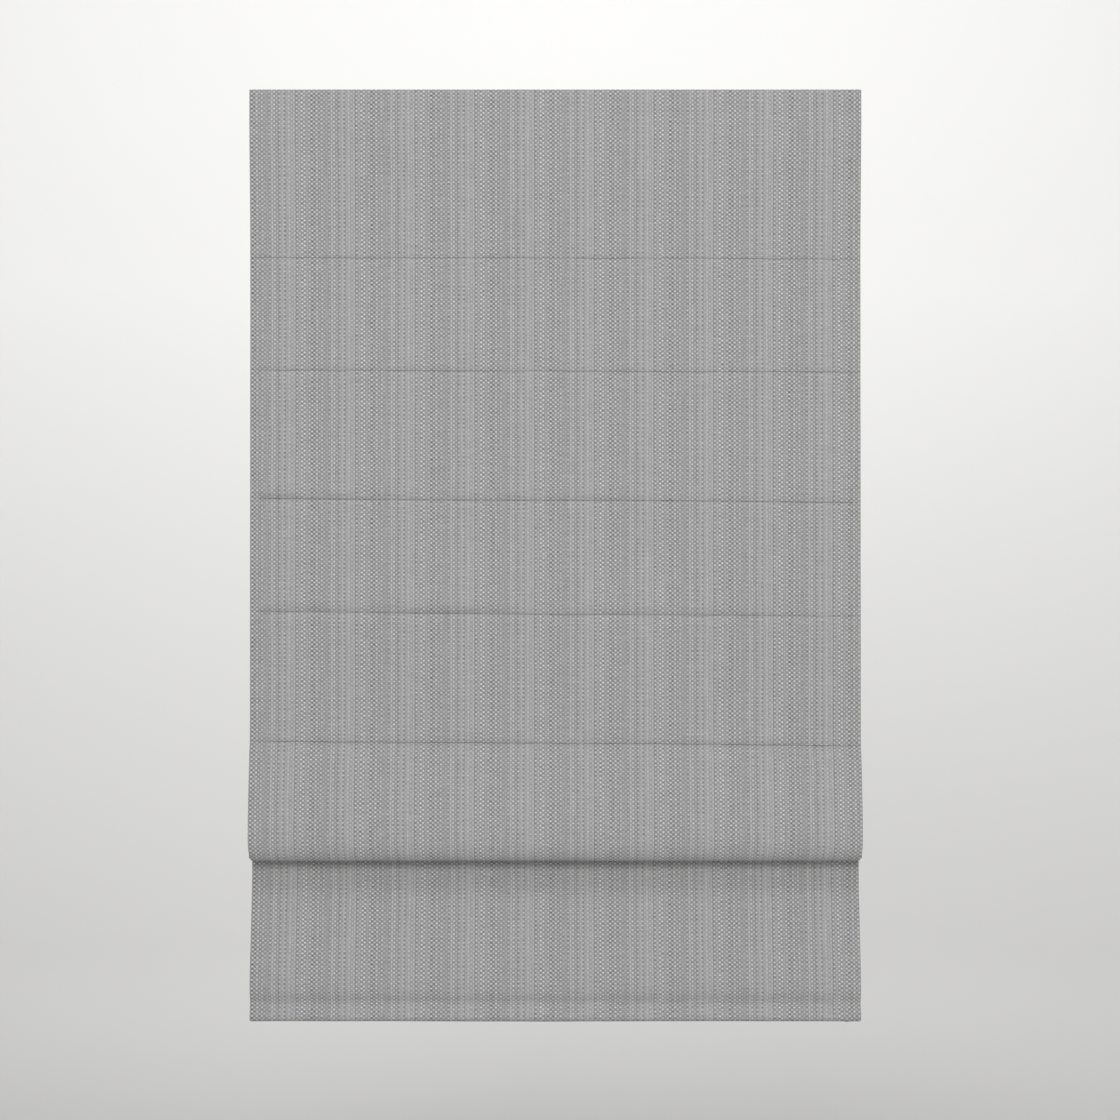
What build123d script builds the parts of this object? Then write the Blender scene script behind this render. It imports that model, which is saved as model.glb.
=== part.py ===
"""A cordless roman blind: lined cloth on cross ribs, hung from a spring-driven headrail.

Units are millimetres. X runs across the window, -Y faces the room and Z is up. The origin is the middle
of the bracket hole pattern, on the face that meets the window head.
"""

from build123d import *
import math
import os

# ---- overall size
CLOTH_WIDTH = 914.0
HEADER_PANEL = 250.0  # top edge of the cloth to the first rib
UPPER_LEAF = 170.0  # rib to the front crease below it
LOWER_LEAF = 193.5  # front crease to the next rib
CLOTH_TOP = -1.5
BOTTOM_DROP = 401.5  # lowest rib to the hem's lowest point
RUN_CLEAR = 0.3  # gap between pieces that move past each other
CUT = 1.0  # how far a cutting tool runs past a face

# ---- cloth
FACE_THICK = 1.0
LINING_THICK = 0.4
SIDE_TURN = 25.0  # side hem of the face cloth, which the lining stops short of
SEAM_GAP = 0.3  # half a panel's end gap at a seam
NOTCH_SIDE = 1.0  # lining's notch, past a guide's sides
NOTCH_END = 0.6
HEADER_PLUMB = 44.0  # depth of the stiff header

# ---- ribs
RIB_DIA = 4.0
RIB_INSET = 9.0  # rod end to the cloth's side edge
RIB_CLEAR = 0.4
RIB_BACK = FACE_THICK / 2 + RIB_CLEAR + RIB_DIA / 2  # face cloth to rod axis
LINING_BACK = RIB_BACK + RIB_DIA / 2 + RIB_CLEAR + LINING_THICK / 2  # face cloth to lining

# ---- lift cords and their guides
CORD_DIA = 1.4
CORD_SPACING = 345.0
CORD_X = (-CORD_SPACING, 0.0, CORD_SPACING)
CORD_LEAN = 0.008  # how far the cords lean into the room, per unit of drop
CORD_EXIT_Y = -2.5
GUIDE_REACH = 10.0  # face cloth to cord
GUIDE_PITCH = 15.0  # guides of a closed fold
GUIDE_WIDE = 8.0
GUIDE_HIGH = 6.8
EYE_DIA = 7.0
EYE_BORE = 3.2
JAW_START = 1.2  # face cloth's middle to the front of a guide's jaws
JAW_END = 2.0  # back of the jaws to the eye's axis
GRIP_CLEAR = 0.1  # guide's jaws round the rod
ADJUSTER_DIA = 7.0
ADJUSTER_LONG = 16.0
ADJUSTER_FLOOR = 3.0
ADJUSTER_EDGE = 0.8
CORD_TIE = 5.0  # adjuster's foot to the end of its cord
CORD_HEAD = 1.0  # lift shaft's axis to the top of a cord

# ---- headrail
RAIL_LONG = 902.0
RAIL_DEEP = 44.0
RAIL_HIGH = 30.0
RAIL_WALL = 1.5
RAIL_LIP = 6.0
RAIL_TOP = -1.8
RAIL_FLOOR = RAIL_TOP - RAIL_HIGH
SLOT_LONG = 12.0
SLOT_DEEP = 9.0
CAP_THICK = 2.5
CAP_PLUG = 8.0
CAP_WALL = 2.0
CAP_EDGE = 1.5
TAPE_HIGH = 20.0
TAPE_THICK = 1.0
TAPE_DROP = 4.0
TAPE_INSET = 3.0

# ---- mounting brackets
BRACKET_SPACING = 840.0
BRACKET_WIDE = 30.0
BRACKET_THICK = 1.5
BRACKET_DEEP = 42.0
HOLE_SPACING = 18.0
HOLE_DIA = 5.0
HOOK_REACH = 4.0
HOOK_INSET = 4.0
BRACKET_CORNER = 3.0
LEG_SINK = 0.5  # bracket legs run this far into their plate

# ---- lift shaft, spools and spring motor
SHAFT_SIDE = 5.0
SHAFT_CLEAR = 0.15
SHAFT_EDGE = 0.5
SHAFT_Z = -17.5
SHAFT_END = 24.0  # shaft end to headrail end
SPOOL_RADIUS = 6.8
SPOOL_FLANGE = 9.4
SPOOL_LONG = 40.0
SPOOL_LEAD = 6.0  # outer end of a spool to its cord
SPOOL_SIDE = 0.1  # cord's side to the spool's face
FLANGE_THICK = 1.5
JOURNAL_WALL = 1.25  # spool journal's wall at the shaft's corners
JOURNAL_LONG = 6.0
CRADLE_WALL = 2.5
CRADLE_BASE = 1.8
CRADLE_TOP = 3.0  # cradle's walls to the rail's lips
NOZZLE_DIA = 6.0
NOZZLE_BORE = 2.6
NOZZLE_DROP = 2.0
MOTOR_X = 172.0
MOTOR_LONG = 46.0
MOTOR_WALL = 0.8
MOTOR_END = 2.5
MOTOR_TOP = -7.2
FOOT_LONG = 8.0  # motor's foot, past each end
FOOT_INSET = 3.0
FOOT_THICK = 1.5
COVER_THICK = 1.2
COVER_CORNER = 3.0
DRUM_PITCH = 20.2
DRUM_RADIUS = 5.0
DRUM_FLANGE = 8.9
DRUM_WALL = 0.45  # drum journal's wall at the shaft's corners
DRUM_LIP = 1.2
DRUM_REACH = 1.5  # drum's ends past the motor's
RIBBON_CLEAR = 0.6
RIBBON_WIDE = 34.0
RIBBON_THICK = 0.4
ROLL_RADIUS = 7.4
SCREW_DIA = 2.5
SCREW_CLEAR = 0.1
SCREW_HEAD = 4.6
SCREW_HEAD_HIGH = 1.4
SCREW_SLOT_WIDE = 0.6
SCREW_SLOT_LONG = 3.2
SCREW_SLOT_DEEP = 0.6
SCREW_LONG = 7.0
POST_DIA = 5.0
POST_OUT = 16.8
POST_ALONG = 4.5  # motor's end to a post's axis

# ---- weight bar
BAR_HIGH = 24.0
BAR_THICK = 4.0
BAR_INSET = 9.0
BAR_CAP = 3.0
BAR_EDGE = 1.2
BAR_LIFT = 0.6  # bar's lower edge to the hem's fold
POCKET_HIGH = 31.0
POCKET_CLEAR = 0.5

# ---- what the sizes above set
CORD_EXIT_Z = RAIL_FLOOR
SHAFT_Y = CORD_EXIT_Y - SPOOL_RADIUS - CORD_DIA / 2 - SPOOL_SIDE
HALF = CLOTH_WIDTH / 2
BORE_SIDE = SHAFT_SIDE + 2 * SHAFT_CLEAR
JOURNAL_DIA = BORE_SIDE * math.sqrt(2) + 2 * JOURNAL_WALL
DRUM_JOURNAL = BORE_SIDE * math.sqrt(2) + 2 * DRUM_WALL


def cord_y(z):
    """Depth of the lift cords at a height."""
    return CORD_EXIT_Y + CORD_LEAN * (z - CORD_EXIT_Z)


def cloth_y(z):
    """Depth of the face cloth where a guide holds it, at a height."""
    return cord_y(z) - GUIDE_REACH


# ---- seams, from the cloth's own lengths: ribs and front creases take turns
RIB_Z = [CLOTH_TOP - HEADER_PANEL - k * (UPPER_LEAF + LOWER_LEAF) for k in range(3)]
RIB_Z.append(RIB_Z[2] - GUIDE_PITCH)  # the lowest rib is drawn up under the third
RIB_Y = [cloth_y(z) for z in RIB_Z]
HEM_Z = RIB_Z[3] - BOTTOM_DROP
FRONT_RIB_Z = [RIB_Z[k] - UPPER_LEAF for k in range(2)]
FRONT_RIB_Y = [cloth_y(z) for z in FRONT_RIB_Z]
HEADER_Y = -RAIL_DEEP / 2 - 2 * TAPE_THICK - RUN_CLEAR - FACE_THICK / 2

# ---- the closed fold and the bottom panel behind it
FOLD_BULGE = 22.5
FOLD_RADIUS = 8.8
FOLD_SAG = 4.5  # the closed fold's bottom, below the leaf's own length
CREASE_RISE = 6.0  # crease's rod above the start of the fold's turn
INNER_START = 3.3  # lowest rib's cloth to the inner leaf
INNER_BACK = 10.0  # fold's front to the foot of the inner leaf
INNER_RISE = 4.0
KINK_BACK = 28.0  # how far the fold pushes the bottom panel back
KINK_RISE = 2.5
HEM_BACK = 3.0
FOLD_FRONT_Y = RIB_Y[2] - FOLD_BULGE
FOLD_BOTTOM = RIB_Z[2] - UPPER_LEAF - FOLD_SAG
CREASE_Z = FOLD_BOTTOM + FOLD_RADIUS + CREASE_RISE
FRONT_RIB_Z.append(CREASE_Z)
FRONT_RIB_Y.append(FOLD_FRONT_Y)
INNER_TOP_Y = RIB_Y[3] - INNER_START
INNER_FOOT_Y = FOLD_FRONT_Y + INNER_BACK
INNER_LINING = 1.6
KINK_Y = RIB_Y[3] + KINK_BACK
KINK_Z = RIB_Z[3] - UPPER_LEAF + KINK_RISE
FRONT_RIB_Z.append(KINK_Z)
FRONT_RIB_Y.append(KINK_Y)
HEM_Y = RIB_Y[3] + HEM_BACK
PLUMB_TOP = 24.0  # the bottom panel hangs plumb past the adjusters
POCKET_RADIUS = (BAR_THICK + FACE_THICK) / 2 + POCKET_CLEAR


def write(name, *solids):
    """Write one piece, or one set of like pieces, as parts/NAME.step."""
    shape = solids[0] if len(solids) == 1 else Compound(children=list(solids))
    export_step(shape, f"parts/{name}.step")
    print(name, round(sum(s.volume for s in solids), 1))


def box(x0, x1, y0, y1, z0, z1):
    """A box between two corners."""
    middle = ((x0 + x1) / 2, (y0 + y1) / 2, (z0 + z1) / 2)
    return Pos(*middle) * Box(abs(x1 - x0), abs(y1 - y0), abs(z1 - z0))


def rod_x(radius, x0, x1, y, z):
    """A round bar along X."""
    return Pos((x0 + x1) / 2, y, z) * Rot(0, 90, 0) * Cylinder(radius, x1 - x0)


def rod_z(radius, x, y, z0, z1):
    """A round bar along Z."""
    return Pos(x, y, (z0 + z1) / 2) * Cylinder(radius, abs(z1 - z0))


def sheet(route, thick, width, back=0.0, steps=16):
    """A layer of cloth along a route of (y, z) points, set back from it and as wide as stated."""
    points = [(0, y, z) for y, z in route]
    middle = Line(*points) if len(points) == 2 else Spline(*points)
    sides = []
    for away in (back - thick / 2, back + thick / 2):
        side = []
        for i in range(steps + 1):
            p, t = middle.position_at(i / steps), middle.tangent_at(i / steps)
            side.append((0, p.Y - t.Z * away, p.Z + t.Y * away))
        sides.append(side)
    front, rear = sides
    if len(points) == 2:
        outline = Polyline(front[0], front[-1], rear[-1], rear[0], close=True)
    else:
        outline = [
            Spline(*front),
            Line(front[-1], rear[-1]),
            Spline(*reversed(rear)),
            Line(rear[0], front[0]),
        ]
    return extrude(make_face(outline), amount=width / 2, dir=(1, 0, 0), both=True).solid()


# ---- cloth and lining
def between(upper, lower):
    """Both ends of a straight panel from one seam to the next, a little short of each."""
    return [(upper[0], upper[1] - SEAM_GAP), (lower[0], lower[1] + SEAM_GAP)]


def seam(kind, k):
    """Where the face cloth lies at a seam."""
    return (RIB_Y[k], RIB_Z[k]) if kind == "rib" else (FRONT_RIB_Y[k], FRONT_RIB_Z[k])


def header_route(top):
    """The header panel hangs plumb over the tapes, then swings back to the first rib."""
    swing = HEADER_Y - RIB_Y[0]
    return [
        (HEADER_Y, top),
        (HEADER_Y, CLOTH_TOP - HEADER_PLUMB),
        (RIB_Y[0] + swing * 0.3, RIB_Z[0] + HEADER_PANEL * 0.3),
        (RIB_Y[0], RIB_Z[0] + SEAM_GAP),
    ]


def fold_route():
    """The closed fold: it swells out over the stacked guides and turns under at its crease."""
    drop = RIB_Z[2] - CREASE_Z
    return [
        (RIB_Y[2], RIB_Z[2] - SEAM_GAP),
        (RIB_Y[2] - FOLD_BULGE * 0.29, RIB_Z[2] - drop * 0.1),
        (RIB_Y[2] - FOLD_BULGE * 0.6, RIB_Z[2] - drop * 0.33),
        (RIB_Y[2] - FOLD_BULGE * 0.9, RIB_Z[2] - drop * 0.7),
        (FOLD_FRONT_Y, CREASE_Z),
        (FOLD_FRONT_Y + FOLD_RADIUS, FOLD_BOTTOM + FACE_THICK / 2),
        (FOLD_FRONT_Y + 2 * FOLD_RADIUS, FOLD_BOTTOM + FOLD_RADIUS + 3),
    ]


def fold_lining_route():
    """The fold's lining starts under the guides of the third rib and ends behind the crease's rod."""
    drop = RIB_Z[2] - CREASE_Z
    return [
        (RIB_Y[2] - FOLD_BULGE * 0.11, RIB_Z[2] - drop * 0.05),
        (RIB_Y[2] - FOLD_BULGE * 0.25, RIB_Z[2] - drop * 0.12),
        (RIB_Y[2] - FOLD_BULGE * 0.6 + 2.4, RIB_Z[2] - drop * 0.33),
        (RIB_Y[2] - FOLD_BULGE * 0.9 + 3.4, RIB_Z[2] - drop * 0.7),
        (FOLD_FRONT_Y + LINING_BACK, CREASE_Z - 1),
    ]


def inner_route():
    """The leaf inside the closed fold."""
    return [(INNER_TOP_Y, RIB_Z[3] - SEAM_GAP), (INNER_FOOT_Y, FOLD_BOTTOM + INNER_RISE)]


def bottom_route():
    """The bottom panel hangs from the lowest rib, is pushed back by the fold and swings in to the hem."""
    return [
        (RIB_Y[3], RIB_Z[3] - SEAM_GAP),
        (RIB_Y[3] + 0.1, RIB_Z[3] - PLUMB_TOP),
        ((RIB_Y[3] + KINK_Y) / 2, (RIB_Z[3] - PLUMB_TOP + KINK_Z) / 2),
        (KINK_Y, KINK_Z),
        (KINK_Y * 0.35 + HEM_Y * 0.65, KINK_Z * 0.55 + HEM_Z * 0.45),
        (HEM_Y - 0.4, HEM_Z + POCKET_HIGH + 20),
        (HEM_Y, HEM_Z + POCKET_HIGH),
    ]


def bar_pocket():
    """The hem: the face cloth turned round the weight bar and up behind it."""
    inner = POCKET_RADIUS - FACE_THICK / 2
    outer = POCKET_RADIUS + FACE_THICK / 2
    middle_y = HEM_Y + POCKET_RADIUS
    turn_z = HEM_Z + outer
    top = HEM_Z + POCKET_HIGH
    walls = box(-HALF, HALF, middle_y - outer, middle_y + outer, turn_z, top)
    walls += rod_x(outer, -HALF, HALF, middle_y, turn_z)
    past = HALF + CUT
    hollow = box(-past, past, middle_y - inner, middle_y + inner, turn_z, top + CUT)
    hollow += rod_x(inner, -past, past, middle_y, turn_z)
    return (walls - hollow).solid()


def guide_notches(rib):
    """What the lining leaves open round the guides of a rib."""
    wide = GUIDE_WIDE / 2 + NOTCH_SIDE
    high = GUIDE_HIGH / 2 + NOTCH_END
    front = RIB_Y[rib] + FACE_THICK
    back = RIB_Y[rib] + GUIDE_REACH
    return [
        box(x - wide, x + wide, front, back, RIB_Z[rib] - high, RIB_Z[rib] + high)
        for x in CORD_X
    ]


def lining(route, back, notched):
    """A lining panel, notched at the guides of the ribs that it meets."""
    layer = sheet(route, LINING_THICK, CLOTH_WIDTH - 2 * SIDE_TURN, back)
    for rib in notched:
        for notch in guide_notches(rib):
            layer -= notch
    return layer.solid()


def cloth_panels():
    """The face cloth, one panel for each stretch from seam to seam."""
    flat = [
        between(seam("rib", 0), seam("front", 0)),
        between(seam("front", 0), seam("rib", 1)),
        between(seam("rib", 1), seam("front", 1)),
        between(seam("front", 1), seam("rib", 2)),
    ]
    write("cloth_panel_1", sheet(header_route(CLOTH_TOP), FACE_THICK, CLOTH_WIDTH))
    for k, route in enumerate(flat):
        write(f"cloth_panel_{k + 2}", sheet(route, FACE_THICK, CLOTH_WIDTH))
    write("cloth_panel_6", sheet(fold_route(), FACE_THICK, CLOTH_WIDTH, steps=40))
    write("cloth_panel_7", sheet(inner_route(), FACE_THICK, CLOTH_WIDTH))
    bottom = sheet(bottom_route(), FACE_THICK, CLOTH_WIDTH, steps=32) + bar_pocket()
    write("cloth_panel_8", bottom.solid())

    below_rail = [p for p in header_route(RAIL_FLOOR - 4) if p[1] <= RAIL_FLOOR - 4]
    write("lining_panel_1", lining(below_rail, LINING_BACK, [0]))
    for k, route in enumerate(flat):
        write(f"lining_panel_{k + 2}", lining(route, LINING_BACK, [(k + 1) // 2]))
    write("lining_panel_6", lining(fold_lining_route(), 0, []))
    write("lining_panel_7", lining(inner_route(), INNER_LINING, []))
    write("lining_panel_8", lining(bottom_route()[:-1], LINING_BACK, [3]))


# ---- ribs and what rides on them
def rib_rod(y, z):
    """A rod between the face cloth and the lining."""
    reach = HALF - RIB_INSET
    return rod_x(RIB_DIA / 2, -reach, reach, y + RIB_BACK, z)


def cord_guide(x, y, z):
    """A guide: jaws that snap on the rod, and an eye that the lift cord runs through."""
    wide = GUIDE_WIDE / 2
    high = GUIDE_HIGH / 2
    eye_y = y + GUIDE_REACH
    jaws = box(x - wide, x + wide, y + JAW_START, eye_y - JAW_END, z - high, z + high)
    eye = rod_z(EYE_DIA / 2, x, eye_y, z - high, z + high)
    bore = rod_z(EYE_BORE / 2, x, eye_y, z - high - CUT, z + high + CUT)
    past = wide + CUT
    grip = rod_x(RIB_DIA / 2 + GRIP_CLEAR, x - past, x + past, y + RIB_BACK, z)
    return (jaws + eye - bore - grip).solid()


def cord_adjuster(x):
    """A slim weight-bearing toggle under the lowest guide, where a lift cord is tied off."""
    top = RIB_Z[3] - GUIDE_HIGH / 2 - RUN_CLEAR
    y = cord_y(top - ADJUSTER_LONG / 2)
    body = rod_z(ADJUSTER_DIA / 2, x, y, top - ADJUSTER_LONG, top)
    body = chamfer(body.edges().filter_by(GeomType.CIRCLE), ADJUSTER_EDGE)
    floor = top - ADJUSTER_LONG + ADJUSTER_FLOOR
    bore = rod_z(CORD_DIA / 2 + RUN_CLEAR, x, y, floor, top + CUT)
    return (body - bore).solid()


def lift_cord(x):
    """A lift cord, from where it leaves its spool to its adjuster."""
    z1 = SHAFT_Z - CORD_HEAD
    z0 = RIB_Z[3] - GUIDE_HIGH / 2 - RUN_CLEAR - ADJUSTER_LONG + CORD_TIE
    top = Vector(x, cord_y(z1), z1)
    foot = Vector(x, cord_y(z0), z0)
    along = Plane(origin=foot, z_dir=top - foot)
    return extrude(along * Circle(CORD_DIA / 2), amount=(top - foot).length).solid()


def weight_bar():
    """The flat bar in the hem."""
    reach = HALF - BAR_INSET - BAR_CAP
    y = HEM_Y + POCKET_RADIUS
    z = HEM_Z + FACE_THICK + BAR_LIFT
    bar = box(-reach, reach, y - BAR_THICK / 2, y + BAR_THICK / 2, z, z + BAR_HIGH)
    return fillet(bar.edges().filter_by(Axis.X), BAR_EDGE)


def weight_bar_cap(side):
    """A plastic cap on one end of the weight bar."""
    inner = side * (HALF - BAR_INSET - BAR_CAP)
    outer = side * (HALF - BAR_INSET)
    y = HEM_Y + POCKET_RADIUS
    z = HEM_Z + FACE_THICK + BAR_LIFT
    cap = box(inner, outer, y - BAR_THICK / 2, y + BAR_THICK / 2, z, z + BAR_HIGH)
    return fillet(cap.edges().filter_by(Axis.X), BAR_EDGE)


# ---- headrail
def headrail():
    """An aluminium channel, open at the top between two lips, with a slot under each spool."""
    y = RAIL_DEEP / 2
    half = RAIL_LONG / 2
    rail = box(-half, half, -y, y, RAIL_FLOOR, RAIL_TOP)
    y -= RAIL_WALL
    rail -= box(-half, half, -y, y, RAIL_FLOOR + RAIL_WALL, RAIL_TOP - RAIL_WALL)
    mouth = RAIL_DEEP / 2 - RAIL_LIP
    rail -= box(-half, half, -mouth, mouth, RAIL_TOP - RAIL_WALL - CUT, RAIL_TOP + CUT)
    for x in CORD_X:
        rail -= box(
            x - SLOT_LONG / 2,
            x + SLOT_LONG / 2,
            CORD_EXIT_Y - SLOT_DEEP / 2,
            CORD_EXIT_Y + SLOT_DEEP / 2,
            RAIL_FLOOR - CUT,
            RAIL_FLOOR + RAIL_WALL + CUT,
        )
    return rail.solid()


def end_cap(side):
    """A moulded cap that plugs into one end of the headrail."""
    end = side * RAIL_LONG / 2
    y = RAIL_DEEP / 2
    plate = box(end, end + side * CAP_THICK, -y, y, RAIL_FLOOR, RAIL_TOP)
    plate = fillet(plate.edges().filter_by(Axis.X), CAP_EDGE)
    y -= RAIL_WALL + RUN_CLEAR
    low = RAIL_FLOOR + RAIL_WALL + RUN_CLEAR
    high = RAIL_TOP - RAIL_WALL - RUN_CLEAR
    plug = box(end, end - side * CAP_PLUG, -y, y, low, high)
    y -= CAP_WALL
    plug -= box(end, end - side * (CAP_PLUG + CUT), -y, y, low + CAP_WALL, high - CAP_WALL)
    return (plate + plug).solid()


def bracket(side):
    """A steel bracket: a top plate with two screw holes and two hooks that hold the rail's lips."""
    x = side * BRACKET_SPACING / 2
    half = BRACKET_WIDE / 2
    deep = BRACKET_DEEP / 2
    plate = box(x - half, x + half, -deep, deep, -BRACKET_THICK, 0)
    plate = fillet(plate.edges().filter_by(Axis.Z), BRACKET_CORNER)
    leg_out = RAIL_DEEP / 2 - RAIL_LIP - RUN_CLEAR
    leg_in = leg_out - BRACKET_THICK
    foot_top = RAIL_TOP - RAIL_WALL - RUN_CLEAR
    foot_low = foot_top - BRACKET_THICK
    x0 = x - half + HOOK_INSET
    x1 = x + half - HOOK_INSET
    for way in (-1, 1):
        plate += box(x0, x1, way * leg_in, way * leg_out, foot_low, -LEG_SINK)
        plate += box(x0, x1, way * leg_in, way * (leg_out + HOOK_REACH), foot_low, foot_top)
        plate -= rod_z(HOLE_DIA / 2, x, way * HOLE_SPACING / 2, -BRACKET_THICK - CUT, CUT)
    return plate.solid()


def tape(front):
    """A strip of touch tape on the headrail's front; the hooks are on the rail, the loops on the cloth."""
    y = -RAIL_DEEP / 2 - (TAPE_THICK if front else 0)
    z = RAIL_TOP - TAPE_DROP
    reach = RAIL_LONG / 2 - TAPE_INSET
    return box(-reach, reach, y - TAPE_THICK, y, z - TAPE_HIGH, z)


# ---- lift shaft and spools
def square_bore(x0, x1):
    """The shaft's hole in what it drives."""
    half = BORE_SIDE / 2
    return box(x0 - CUT, x1 + CUT, SHAFT_Y - half, SHAFT_Y + half, SHAFT_Z - half, SHAFT_Z + half)


def lift_shaft():
    """The square shaft that turns every spool and the motor's output drum."""
    half = SHAFT_SIDE / 2
    reach = RAIL_LONG / 2 - SHAFT_END
    shaft = box(-reach, reach, SHAFT_Y - half, SHAFT_Y + half, SHAFT_Z - half, SHAFT_Z + half)
    return chamfer(shaft.edges().filter_by(Axis.X), SHAFT_EDGE)


def spool_ends(x):
    """Both ends of a cord's spool, which runs from its cord towards the middle of the blind."""
    if x > 0:
        return x + SPOOL_LEAD - SPOOL_LONG, x + SPOOL_LEAD
    return x - SPOOL_LEAD, x - SPOOL_LEAD + SPOOL_LONG


def cord_spool(x):
    """A spool with a flange at each end and a journal beyond each flange."""
    x0, x1 = spool_ends(x)
    spool = rod_x(SPOOL_RADIUS, x0, x1, SHAFT_Y, SHAFT_Z)
    spool += rod_x(SPOOL_FLANGE, x0 - FLANGE_THICK, x0, SHAFT_Y, SHAFT_Z)
    spool += rod_x(SPOOL_FLANGE, x1, x1 + FLANGE_THICK, SHAFT_Y, SHAFT_Z)
    ends = FLANGE_THICK + JOURNAL_LONG
    spool += rod_x(JOURNAL_DIA / 2, x0 - ends, x1 + ends, SHAFT_Y, SHAFT_Z)
    return (spool - square_bore(x0 - ends, x1 + ends)).solid()


def cord_cradle(x):
    """A cradle: two bearing walls for a spool's journals, and the nozzle that the cord leaves by."""
    x0, x1 = spool_ends(x)
    wall_low = x0 - FLANGE_THICK - RUN_CLEAR
    wall_high = x1 + FLANGE_THICK + RUN_CLEAR
    y = RAIL_DEEP / 2 - RAIL_WALL - RUN_CLEAR
    floor = RAIL_FLOOR + RAIL_WALL
    top = RAIL_TOP - RAIL_WALL - CRADLE_TOP
    cradle = box(wall_low - CRADLE_WALL, wall_high + CRADLE_WALL, -y, y, floor, floor + CRADLE_BASE)
    for x0 in (wall_low - CRADLE_WALL, wall_high):
        cradle += box(x0, x0 + CRADLE_WALL, -y, y / 2, floor, top)
        cradle -= rod_x(JOURNAL_DIA / 2 + RUN_CLEAR, x0 - CUT, x0 + CRADLE_WALL + CUT, SHAFT_Y, SHAFT_Z)
    exit_y = cord_y(RAIL_FLOOR)
    foot = RAIL_FLOOR - NOZZLE_DROP
    cradle += rod_z(NOZZLE_DIA / 2, x, exit_y, foot, floor + CRADLE_BASE)
    bore = rod_z(NOZZLE_BORE / 2, x, exit_y, foot - CUT, floor + CRADLE_BASE + CUT)
    return (cradle - bore).solid()


# ---- spring motor
def motor_posts():
    """Where the cover's screws go into the case, as (x, y)."""
    return [
        (MOTOR_X + along * (MOTOR_LONG / 2 + POST_ALONG), across * POST_OUT)
        for along in (-1, 1)
        for across in (-1, 1)
    ]


def motor_case():
    """An open box with two bearing walls, and posts beyond them for the cover's screws."""
    half = MOTOR_LONG / 2
    y = RAIL_DEEP / 2 - RAIL_WALL - RUN_CLEAR
    floor = RAIL_FLOOR + RAIL_WALL
    case = box(MOTOR_X - half, MOTOR_X + half, -y, y, floor, MOTOR_TOP)
    case -= box(
        MOTOR_X - half + MOTOR_END,
        MOTOR_X + half - MOTOR_END,
        -y + MOTOR_WALL,
        y - MOTOR_WALL,
        floor + MOTOR_WALL,
        MOTOR_TOP + CUT,
    )
    foot = half + FOOT_LONG
    deep = y - FOOT_INSET
    case += box(MOTOR_X - foot, MOTOR_X + foot, -deep, deep, floor, floor + FOOT_THICK)
    for x, post_y in motor_posts():
        case += rod_z(POST_DIA / 2, x, post_y, floor, MOTOR_TOP)
        case -= rod_z(SCREW_DIA / 2 + SCREW_CLEAR, x, post_y, MOTOR_TOP - SCREW_LONG - CUT, MOTOR_TOP + CUT)
    for drum_y in (SHAFT_Y, SHAFT_Y + DRUM_PITCH):
        hole = DRUM_JOURNAL / 2 + RUN_CLEAR
        case -= rod_x(hole, MOTOR_X - half - CUT, MOTOR_X + half + CUT, drum_y, SHAFT_Z)
    return case.solid()


def motor_cover():
    """The flat lid of the motor."""
    half = MOTOR_LONG / 2 + FOOT_LONG
    y = RAIL_DEEP / 2 - RAIL_WALL - RUN_CLEAR
    lid = box(MOTOR_X - half, MOTOR_X + half, -y, y, MOTOR_TOP, MOTOR_TOP + COVER_THICK)
    lid = fillet(lid.edges().filter_by(Axis.Z), COVER_CORNER)
    for x, post_y in motor_posts():
        lid -= rod_z(SCREW_DIA / 2 + SCREW_CLEAR, x, post_y, MOTOR_TOP - CUT, MOTOR_TOP + COVER_THICK + CUT)
    return lid.solid()


def motor_screw(x, y):
    """One of the cover's screws."""
    under = MOTOR_TOP + COVER_THICK
    top = under + SCREW_HEAD_HIGH
    head = rod_z(SCREW_HEAD / 2, x, y, under, top)
    wide = SCREW_SLOT_WIDE / 2
    long = SCREW_SLOT_LONG / 2
    head -= box(x - wide, x + wide, y - long, y + long, top - SCREW_SLOT_DEEP, top + CUT)
    return (head + rod_z(SCREW_DIA / 2, x, y, under - SCREW_LONG, under)).solid()


def drum(y, driven):
    """A drum for the spring ribbon: flanged, with a journal at each end."""
    half = RIBBON_WIDE / 2 + RIBBON_CLEAR
    body = rod_x(DRUM_RADIUS, MOTOR_X - half, MOTOR_X + half, y, SHAFT_Z)
    for side in (-1, 1):
        inner = MOTOR_X + side * half
        outer = inner + side * DRUM_LIP
        body += rod_x(DRUM_FLANGE, min(inner, outer), max(inner, outer), y, SHAFT_Z)
    reach = MOTOR_LONG / 2 + DRUM_REACH
    body += rod_x(DRUM_JOURNAL / 2, MOTOR_X - reach, MOTOR_X + reach, y, SHAFT_Z)
    if driven:
        body -= square_bore(MOTOR_X - reach, MOTOR_X + reach)
    return body.solid()


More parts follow.
